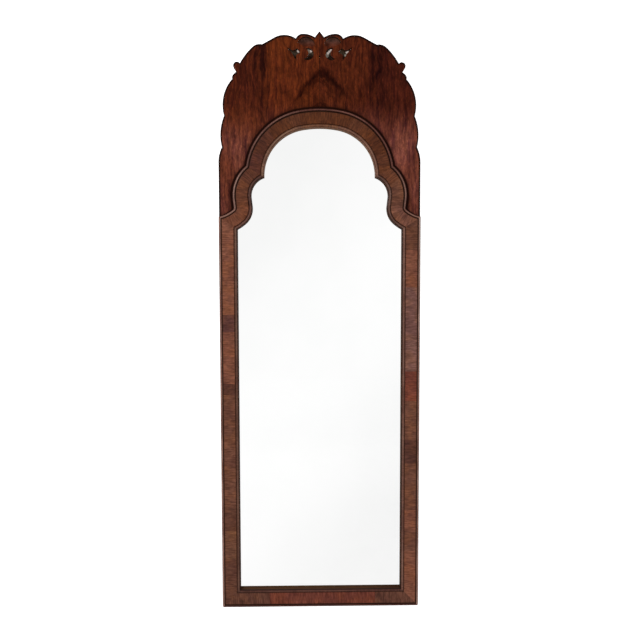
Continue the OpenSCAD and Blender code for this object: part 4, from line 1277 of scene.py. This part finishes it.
def pine(
    name, length_axis, tone=AGED, late=LATE_WOOD, ring_size=240,
    stain=STAIN, reveal=None, front=STAINED_FROM,
):
    """Year rings and knots along length_axis (0 for X, 2 for Z), and a stain on the faces that look
    forward or sideways and lie before front; the faces of the reveal may have a colour of their own."""
    material, tree, shader = finish(name, specular=0.25)
    spot, looks = spot_on(tree), facing(tree)
    grain, knotted = (stretched(tree, spot, length_axis, share) for share in (0.045, 0.6))
    ring = noise(tree, grain, ring_size, 2, 0.5, 0.6)
    fibre = noise(tree, grain, ring_size * 6, 3, 0.6)
    cloud = noise(tree, spot, 9, 3)
    colour = blended(tree, between(tree, ring, 0.46, 0.62), tone, late)
    colour = blended(tree, between(tree, fibre, 0.35, 0.7, 0.0, 0.4), colour, late)
    colour = blended(tree, between(tree, cloud, 0.4, 0.7, 0.0, 0.55), colour, BROWNED)
    knot = put(tree, "ShaderNodeTexVoronoi", {"Vector": knotted, "Scale": 7.5}).outputs["Distance"]
    colour = blended(tree, between(tree, knot, 0.03, 0.075, 0.85, 0.0), colour, KNOT)
    turned = maths(tree, "LESS_THAN", looks["Y"], 0.6)
    reach = between(tree, axes(tree, spot)["Y"], front, front + 2.5 * MM, 1.0, 0.0)
    stained = product(tree, turned, reach, between(tree, cloud, 0.35, 0.75, 0.9, 1.0))
    dark = blended(tree, between(tree, ring, 0.3, 0.7), stain, tuple(1.4 * value for value in stain))
    if reveal is not None:
        dark = blended(tree, maths(tree, "GREATER_THAN", looks["Y"], -0.6), dark, reveal)
    colour = blended(tree, stained, colour, dark)
    tree.links.new(between(tree, stained, 0.0, 0.8, 1.45, 1.0), shader.inputs["IOR"])
    height = maths(tree, "MULTIPLY_ADD", ring, 0.6, fibre)
    wear(tree, shader, colour, between(tree, fibre, 0.3, 0.7, 0.62, 0.78), height, 0.2 * MM)
    return material


print("the stain starts", round(-STAINED_FROM / MM, 1), "mm before the back")

# %% Dress the pine parts
def dress(material, *nodes):
    """Gives a finish to parts of the model through their material slots."""
    for node in nodes:
        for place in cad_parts[node].material_slots:
            place.material = material


SIDES = ("left", "right")
HEAD_STAIN = (0.010, 0.002, 0.001)
dress(pine("pine_upright", 2), *[f"{side}_{part}" for side in SIDES for part in ("stile", "batten")])
dress(pine("pine_level", 0), "bottom_rail")
head_upright = pine("pine_head_upright", 2, stain=HEAD_STAIN, reveal=(0.05, 0.024, 0.016))
head_level = pine("pine_head_level", 0, stain=HEAD_STAIN, reveal=(0.20, 0.115, 0.075))
for piece in head_blocks:
    level = any(part in piece.name for part in ("crown", "haunch"))
    piece.data.materials.append(head_level if level else head_upright)
board_pine = pine("crest_board_pine", 2, ring_size=150, stain=(0.006, 0.002, 0.001), front=-0.5 * MM)
crest_board.data.materials.clear()
crest_board.data.materials.append(board_pine)
backboard_pine = pine("backboard_pine", 0, (0.27, 0.16, 0.082), (0.15, 0.072, 0.033), 110, front=-1.0)
dress(backboard_pine, *[f"{part}_backboard" for part in ("lower", "middle", "upper", "arched")])
print("nodes in a pine finish:", len(board_pine.node_tree.nodes))

# %% [markdown]
# ## Glass, brass, iron, cork and paper
# The looking glass is silvered at its back, so it mirrors whatever stands before it and only its cut
# edge shows green. A metal with hardly any roughness does the same. Its colour is darker towards two
# opposite corners and faintly clouded: a painted reflection of an uneven room, falling off across the
# plate. The fittings are cast and rolled brass and iron screws that have dulled; cork pads keep the
# foot off the wall.

# %% The looking glass
CUT_EDGE = (0.10, 0.22, 0.17)


def looking_glass():
    """A mirror whose colour is darker where 0.94 * x - z is low or high, at two opposite corners, and
    faintly clouded: a painted reflection of an uneven room.
    """
    material, tree, shader = finish("looking_glass", roughness=0.015, metallic=1.0)
    spot = spot_on(tree)
    place = axes(tree, spot)
    slope = maths(tree, "MULTIPLY_ADD", place["X"], 0.94, maths(tree, "MULTIPLY", place["Z"], -1.0))
    # Painted reflection: darker towards the upper left and the lower right corners.
    upper_left = between(tree, slope, -1.25, -0.7, 0.93, 1.0)
    lower_right = between(tree, slope, -0.58, 0.08, 1.0, 0.88)
    painted_clouds_and_ripple = noise(tree, spot, 5, 3)
    colour = blended(tree, between(tree, painted_clouds_and_ripple, 0.35, 0.7), (0.99, 0.992, 0.99), (0.97, 0.975, 0.972))
    colour = times(tree, colour, even(tree, maths(tree, "MINIMUM", upper_left, lower_right)))
    edge = maths(tree, "LESS_THAN", maths(tree, "ABSOLUTE", facing(tree)["Y"]), 0.5)
    wear(tree, shader, blended(tree, edge, colour, CUT_EDGE), None, painted_clouds_and_ripple, 0.03 * MM)
    return material


glass = looking_glass()
dress(glass, "mirror_plate")
print("nodes in the glass's finish:", len(glass.node_tree.nodes))

# %% Brass and iron
def metal(name, colour, tarnish, roughness, scale=120):
    """A metal with patches of tarnish, which are rougher, and a finer grain in its bump."""
    material, tree, shader = finish(name, roughness=roughness, metallic=1.0)
    spot = spot_on(tree)
    patch = noise(tree, spot, scale, 4, 0.65)
    mixed = blended(tree, between(tree, patch, 0.42, 0.68, 0.0, 0.85), colour, tarnish)
    rough = between(tree, patch, 0.3, 0.7, roughness, roughness + 0.22)
    wear(tree, shader, mixed, rough, noise(tree, spot, scale * 9, 2), 0.05 * MM)
    return material


brass = metal("aged_brass", (0.56, 0.38, 0.14), (0.20, 0.12, 0.045), 0.3)
iron = metal("dulled_iron", (0.32, 0.30, 0.27), (0.12, 0.07, 0.045), 0.42, 260)
dress(brass, *[f"{side}_hanger_{part}" for side in SIDES for part in ("plate", "ring")])
dress(brass, "hanger_screws")
dress(iron, "batten_screws", "backboard_screws")
print("nodes in a metal's finish:", len(brass.node_tree.nodes))

# %% Cork, paper and the setting blocks
def grained(name, colour, speck, scale, low, high, roughness, height):
    """Specks where a noise passes from low to high, and a bump of cells and grit."""
    material, tree, shader = finish(name, roughness=roughness, specular=0.2)
    spot = spot_on(tree)
    cells = put(tree, "ShaderNodeTexVoronoi", {"Vector": spot, "Scale": scale}).outputs["Distance"]
    grit = noise(tree, spot, scale * 2, 3)
    mixed = blended(tree, between(tree, grit, low, high), colour, speck)
    wear(tree, shader, mixed, None, maths(tree, "ADD", cells, grit), height)
    return material


cork = grained("cork", (0.42, 0.24, 0.11), (0.13, 0.06, 0.03), 650, 0.5, 0.62, 0.85, 0.3 * MM)
paper = grained("lining_paper", (0.20, 0.17, 0.13), (0.14, 0.11, 0.08), 300, 0.4, 0.7, 0.9, 0.1 * MM)
beech = grained("setting_blocks_beech", (0.45, 0.28, 0.15), (0.3, 0.17, 0.08), 420, 0.4, 0.7, 0.7, 0.1 * MM)
dress(cork, "wall_pads")
dress(paper, "lining_paper")
dress(beech, "setting_blocks")
print("finishes made:", len([m for m in bpy.data.materials if m.users]))

# %% [markdown]
# ## Floor, wall and light
# A wall mirror is photographed on a pale wall in soft light from large windows or softboxes. The wall
# is lit brighter than the piece, so it comes out white. Only the narrow gap behind the fretwork gets a
# painted shadow of the crest, dim and brown, with a few painted spots of light where light would fall
# through the openings. The wall shows to the camera from the front only: seen from behind, it gives
# way to the back of the mirror.
#
# The floor is diffuse and takes the mirror's shadow. The glass mirrors it, so the floor also glows a
# little for the rays that come from the glass, more the farther away it lies: then it meets the white
# room without a line in the mirror.

# %% The stage
FLOOR_Z, WALL_Y = -0.75, 6.2 * MM


def pale_plane(name, corners, material):
    """A stage for the mirror: one face with four corners."""
    mesh = bpy.data.meshes.new(name)
    mesh.from_pydata(corners, [], [(0, 1, 2, 3)])
    mesh.materials.append(material)
    plane = bpy.data.objects.new(name, mesh)
    bpy.context.scene.collection.objects.link(plane)
    plane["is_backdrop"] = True
    return plane


def empty_finish(name):
    """A new material for the stage, whose tree holds nothing yet."""
    material = bpy.data.materials.new(name)
    material.use_nodes = True
    material.node_tree.nodes.clear()
    return material, material.node_tree


def glowing(tree, colour, strength):
    """A diffuse surface with a white glow on top."""
    shade = put(tree, "ShaderNodeBsdfDiffuse", {"Color": colour}).outputs[0]
    glow = put(tree, "ShaderNodeEmission", {"Color": (1, 1, 1, 1), "Strength": strength}).outputs[0]
    return put(tree, "ShaderNodeAddShader", {0: shade, 1: glow}).outputs[0]


print("the wall stands", round(WALL_Y / MM, 1), "mm behind the carcass")

# %% The floor
PLASTER = (0.8, 0.8, 0.8, 1)


def pale_floor():
    """A glow of 0.66 for the camera's rays, and from 0.6 far away to 0.35 close by for the glass's."""
    material, tree = empty_finish("pale_floor")
    rays = put(tree, "ShaderNodeLightPath").outputs
    away = between(tree, axes(tree, spot_on(tree))["Y"], -4.8, -1.7, 0.6, 0.35)
    passed_on = maths(tree, "MAXIMUM", rays["Is Glossy Ray"], rays["Is Transmission Ray"])
    passed_on = product(tree, passed_on, away)
    seen = maths(tree, "MAXIMUM", maths(tree, "MULTIPLY", rays["Is Camera Ray"], 0.66), passed_on)
    put(tree, "ShaderNodeOutputMaterial", {"Surface": glowing(tree, PLASTER, seen)})
    return material


corners = [(-9, -9, FLOOR_Z), (9, -9, FLOOR_Z), (9, 9, FLOOR_Z), (-9, 9, FLOOR_Z)]
pale_plane("floor", corners, pale_floor())
print("the floor lies", -FLOOR_Z, "m below the mirror's foot")

# %% Painted spots of light on the wall behind the fretwork: x, drop below the tip and reach in millimetres, colour and glow
PAINTED_PALE_SPOT, PAINTED_GREY_SPOT = ((0.9, 0.78, 0.7), 0.22), ((0.42, 0.4, 0.33), 0.04)
PAINTED_GLINTS = [(-24, 42.5, 7.5, PAINTED_GREY_SPOT), (-20.5, 43, 3.5, PAINTED_PALE_SPOT), (-51.4, 42.8, 4.8, PAINTED_PALE_SPOT), (-76.5, 37.5, 4, PAINTED_PALE_SPOT)]
PAINTED_GLINTS += [(18.5, 53.5, 6, PAINTED_GREY_SPOT), (21, 48, 4, PAINTED_PALE_SPOT), (24.5, 44, 3.6, PAINTED_PALE_SPOT), (28.5, 40.5, 4, PAINTED_PALE_SPOT)]
PAINTED_GLINTS += [(63.5, 53, 3.5, PAINTED_GREY_SPOT), (68.5, 45, 5, PAINTED_PALE_SPOT), (77, 37, 3.5, PAINTED_PALE_SPOT)]
# The painted shadow behind the fretwork reaches from SHADE_LOW up to SHADE_HIGH.
SHADE_LOW, SHADE_HIGH = CREST_TOP - 90 * MM, CREST_TOP - 22 * MM
print("spots of light behind the fretwork:", len(PAINTED_GLINTS))


def distance(tree, spot, place):
    """How far a point lies from a place."""
    return put(tree, "ShaderNodeVectorMath", {0: spot, 1: place}, operation="DISTANCE").outputs["Value"]


def painted_shadow_share(tree, across, up):
    """1 where the wall gets a painted shadow of the crest behind the openings: a rectangle, and a disc
    behind each eye.
    """
    painted_shadow = between(tree, across, 88 * MM, 96 * MM, 1.0, 0.0)
    painted_shadow = product(tree, painted_shadow, between(tree, up, SHADE_LOW, SHADE_LOW + 8 * MM))
    painted_shadow = product(tree, painted_shadow, between(tree, up, SHADE_HIGH, SHADE_HIGH + 2 * MM, 1.0, 0.0))
    flat = put(tree, "ShaderNodeCombineXYZ", {0: across, 1: 0.0, 2: up}).outputs[0]
    from_eye = distance(tree, flat, (32.5 * MM, 0, CREST_TOP - 28.7 * MM))
    return maths(tree, "MAXIMUM", painted_shadow, between(tree, from_eye, 22.5 * MM, 23.5 * MM, 1.0, 0.0))


def painted_shadow_and_spots(tree, spot, across, up):
    """The painted shadow's colour and glow: brown behind the eyes, murky below, with the painted spots of
    light and a pale spot behind the peg hole.
    """
    patches = noise(tree, spot, 85, 2)
    eye = between(tree, up, CREST_TOP - 30 * MM, CREST_TOP - 14 * MM)
    eye = blended(tree, eye, (0.13, 0.036, 0.02), (0.12, 0.058, 0.045))
    eye = times(tree, eye, even(tree, between(tree, patches, 0.35, 0.62, 0.7, 1.35)))
    murk = between(tree, up, CREST_TOP - 58 * MM, CREST_TOP - 48 * MM)
    murk = blended(tree, murk, (0.05, 0.025, 0.018), (0.12, 0.095, 0.07))
    lower = between(tree, up, CREST_TOP - 40 * MM, CREST_TOP - 33 * MM, 1.0, 0.0)
    dim = blended(tree, lower, eye, murk)
    painted_glow = 0.0
    for x, drop, reach, (light, glow) in PAINTED_GLINTS:
        away = distance(tree, spot, (x * MM, WALL_Y, CREST_TOP - drop * MM))
        patch = between(tree, away, reach * 0.5 * MM, reach * MM, 1.0, 0.0)
        dim = blended(tree, patch, dim, light)
        painted_glow = maths(tree, "MAXIMUM", painted_glow, maths(tree, "MULTIPLY", patch, glow))
    # Painted light: the wall seen through the peg hole is pale.
    behind_peg = between(tree, across, 2 * MM, 4 * MM, 1.0, 0.0)
    return blended(tree, behind_peg, dim, (0.9, 0.85, 0.8)), painted_glow


# %% The wall
def pale_wall():
    """White before the camera, except the painted shadow and spots of light behind the fretwork; seen from
    behind, clear.
    """
    material, tree = empty_finish("pale_wall")
    spot = spot_on(tree)
    place = axes(tree, spot)
    across, up = maths(tree, "ABSOLUTE", place["X"]), place["Z"]
    painted_shadow = painted_shadow_share(tree, across, up)
    dim, painted_glow = painted_shadow_and_spots(tree, spot, across, up)
    strength = maths(tree, "ADD", between(tree, painted_shadow, 0.0, 1.0, 0.8, 0.0), painted_glow)
    lit = glowing(tree, blended(tree, painted_shadow, PLASTER, dim), strength)
    back = put(tree, "ShaderNodeNewGeometry").outputs["Backfacing"]
    by_camera = put(tree, "ShaderNodeLightPath").outputs["Is Camera Ray"]
    shown = product(tree, by_camera, maths(tree, "SUBTRACT", 1.0, back))
    clear = put(tree, "ShaderNodeBsdfTransparent").outputs[0]
    mixed = put(tree, "ShaderNodeMixShader", {0: shown, 1: clear, 2: lit}).outputs[0]
    put(tree, "ShaderNodeOutputMaterial", {"Surface": mixed})
    return material


corners = [(-4, WALL_Y, FLOOR_Z), (4, WALL_Y, FLOOR_Z), (4, WALL_Y, 4), (-4, WALL_Y, 4)]
wall = pale_plane("wall", corners, pale_wall())
print("the wall's front looks towards", tuple(round(v, 1) for v in wall.data.polygons[0].normal))

# %% The room's light
world = bpy.data.worlds.new("soft_room")
bpy.context.scene.world = world
world.use_nodes = True
room = world.node_tree
room.nodes.clear()
rays = put(room, "ShaderNodeLightPath").outputs
seen = maths(room, "MAXIMUM", rays["Is Glossy Ray"], rays["Is Transmission Ray"])
seen = maths(room, "MAXIMUM", rays["Is Camera Ray"], seen)
strength = maths(room, "MULTIPLY_ADD", seen, 0.5, 0.5)
sky = put(room, "ShaderNodeBackground", {"Color": (1, 1, 1, 1), "Strength": strength})
put(room, "ShaderNodeOutputWorld", {"Surface": sky.outputs[0]})


def softbox(name, place, aim, size, watts):
    """A square lamp of this size in metres, which looks at a point."""
    lamp = bpy.data.lights.new(name, "AREA")
    lamp.size, lamp.energy = size, watts
    holder = bpy.data.objects.new(name, lamp)
    bpy.context.scene.collection.objects.link(holder)
    away = np.array(place, float) - np.array(aim, float)
    holder.location = place
    heading = math.atan2(away[1], away[0])
    holder.rotation_euler = (math.acos(away[2] / np.linalg.norm(away)), 0, heading + math.pi / 2)
    print(name, "stands", round(float(np.linalg.norm(away)), 2), "m from the mirror's middle")


softbox("key", (-1.9, -2.3, 1.9), (0, 0, 0.75), 1.2, 42)
softbox("fill", (2.3, -2.2, 1.1), (0, 0, 0.7), 1.4, 22)
softbox("back", (0.8, 2.6, 2.2), (0, 0, 0.7), 1.6, 30)

# %% [markdown]
# ## The camera
# The picture was taken from about two metres, level with the upper part of the frame and tipped
# slightly down. The frame fills nearly the whole height of the picture.

# %% Place the camera
lens = bpy.data.cameras.new("camera")
lens.lens, lens.sensor_width = 42.88, 36
lens.clip_start = 0.01
camera = bpy.data.objects.new("camera", lens)
bpy.context.scene.collection.objects.link(camera)
camera.location = (-0.0352, -1.900, 0.8550)
yaw, pitch, roll = math.radians(-1.073), math.radians(90 - 3.885), math.radians(0.109)
camera.rotation_euler = (pitch, roll, yaw)
bpy.context.scene.camera = camera
bpy.context.scene.view_settings.view_transform = "Standard"
print("the camera stands", round(-camera.location.y, 2), "m before the mirror")

# %% How far the pieces stand out of the model's box
past = np.abs(np.array(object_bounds()) - np.array(box_at_load)).max()
print("the pieces stand out of the model's box by", round(float(past) / MM, 2), "mm at most")
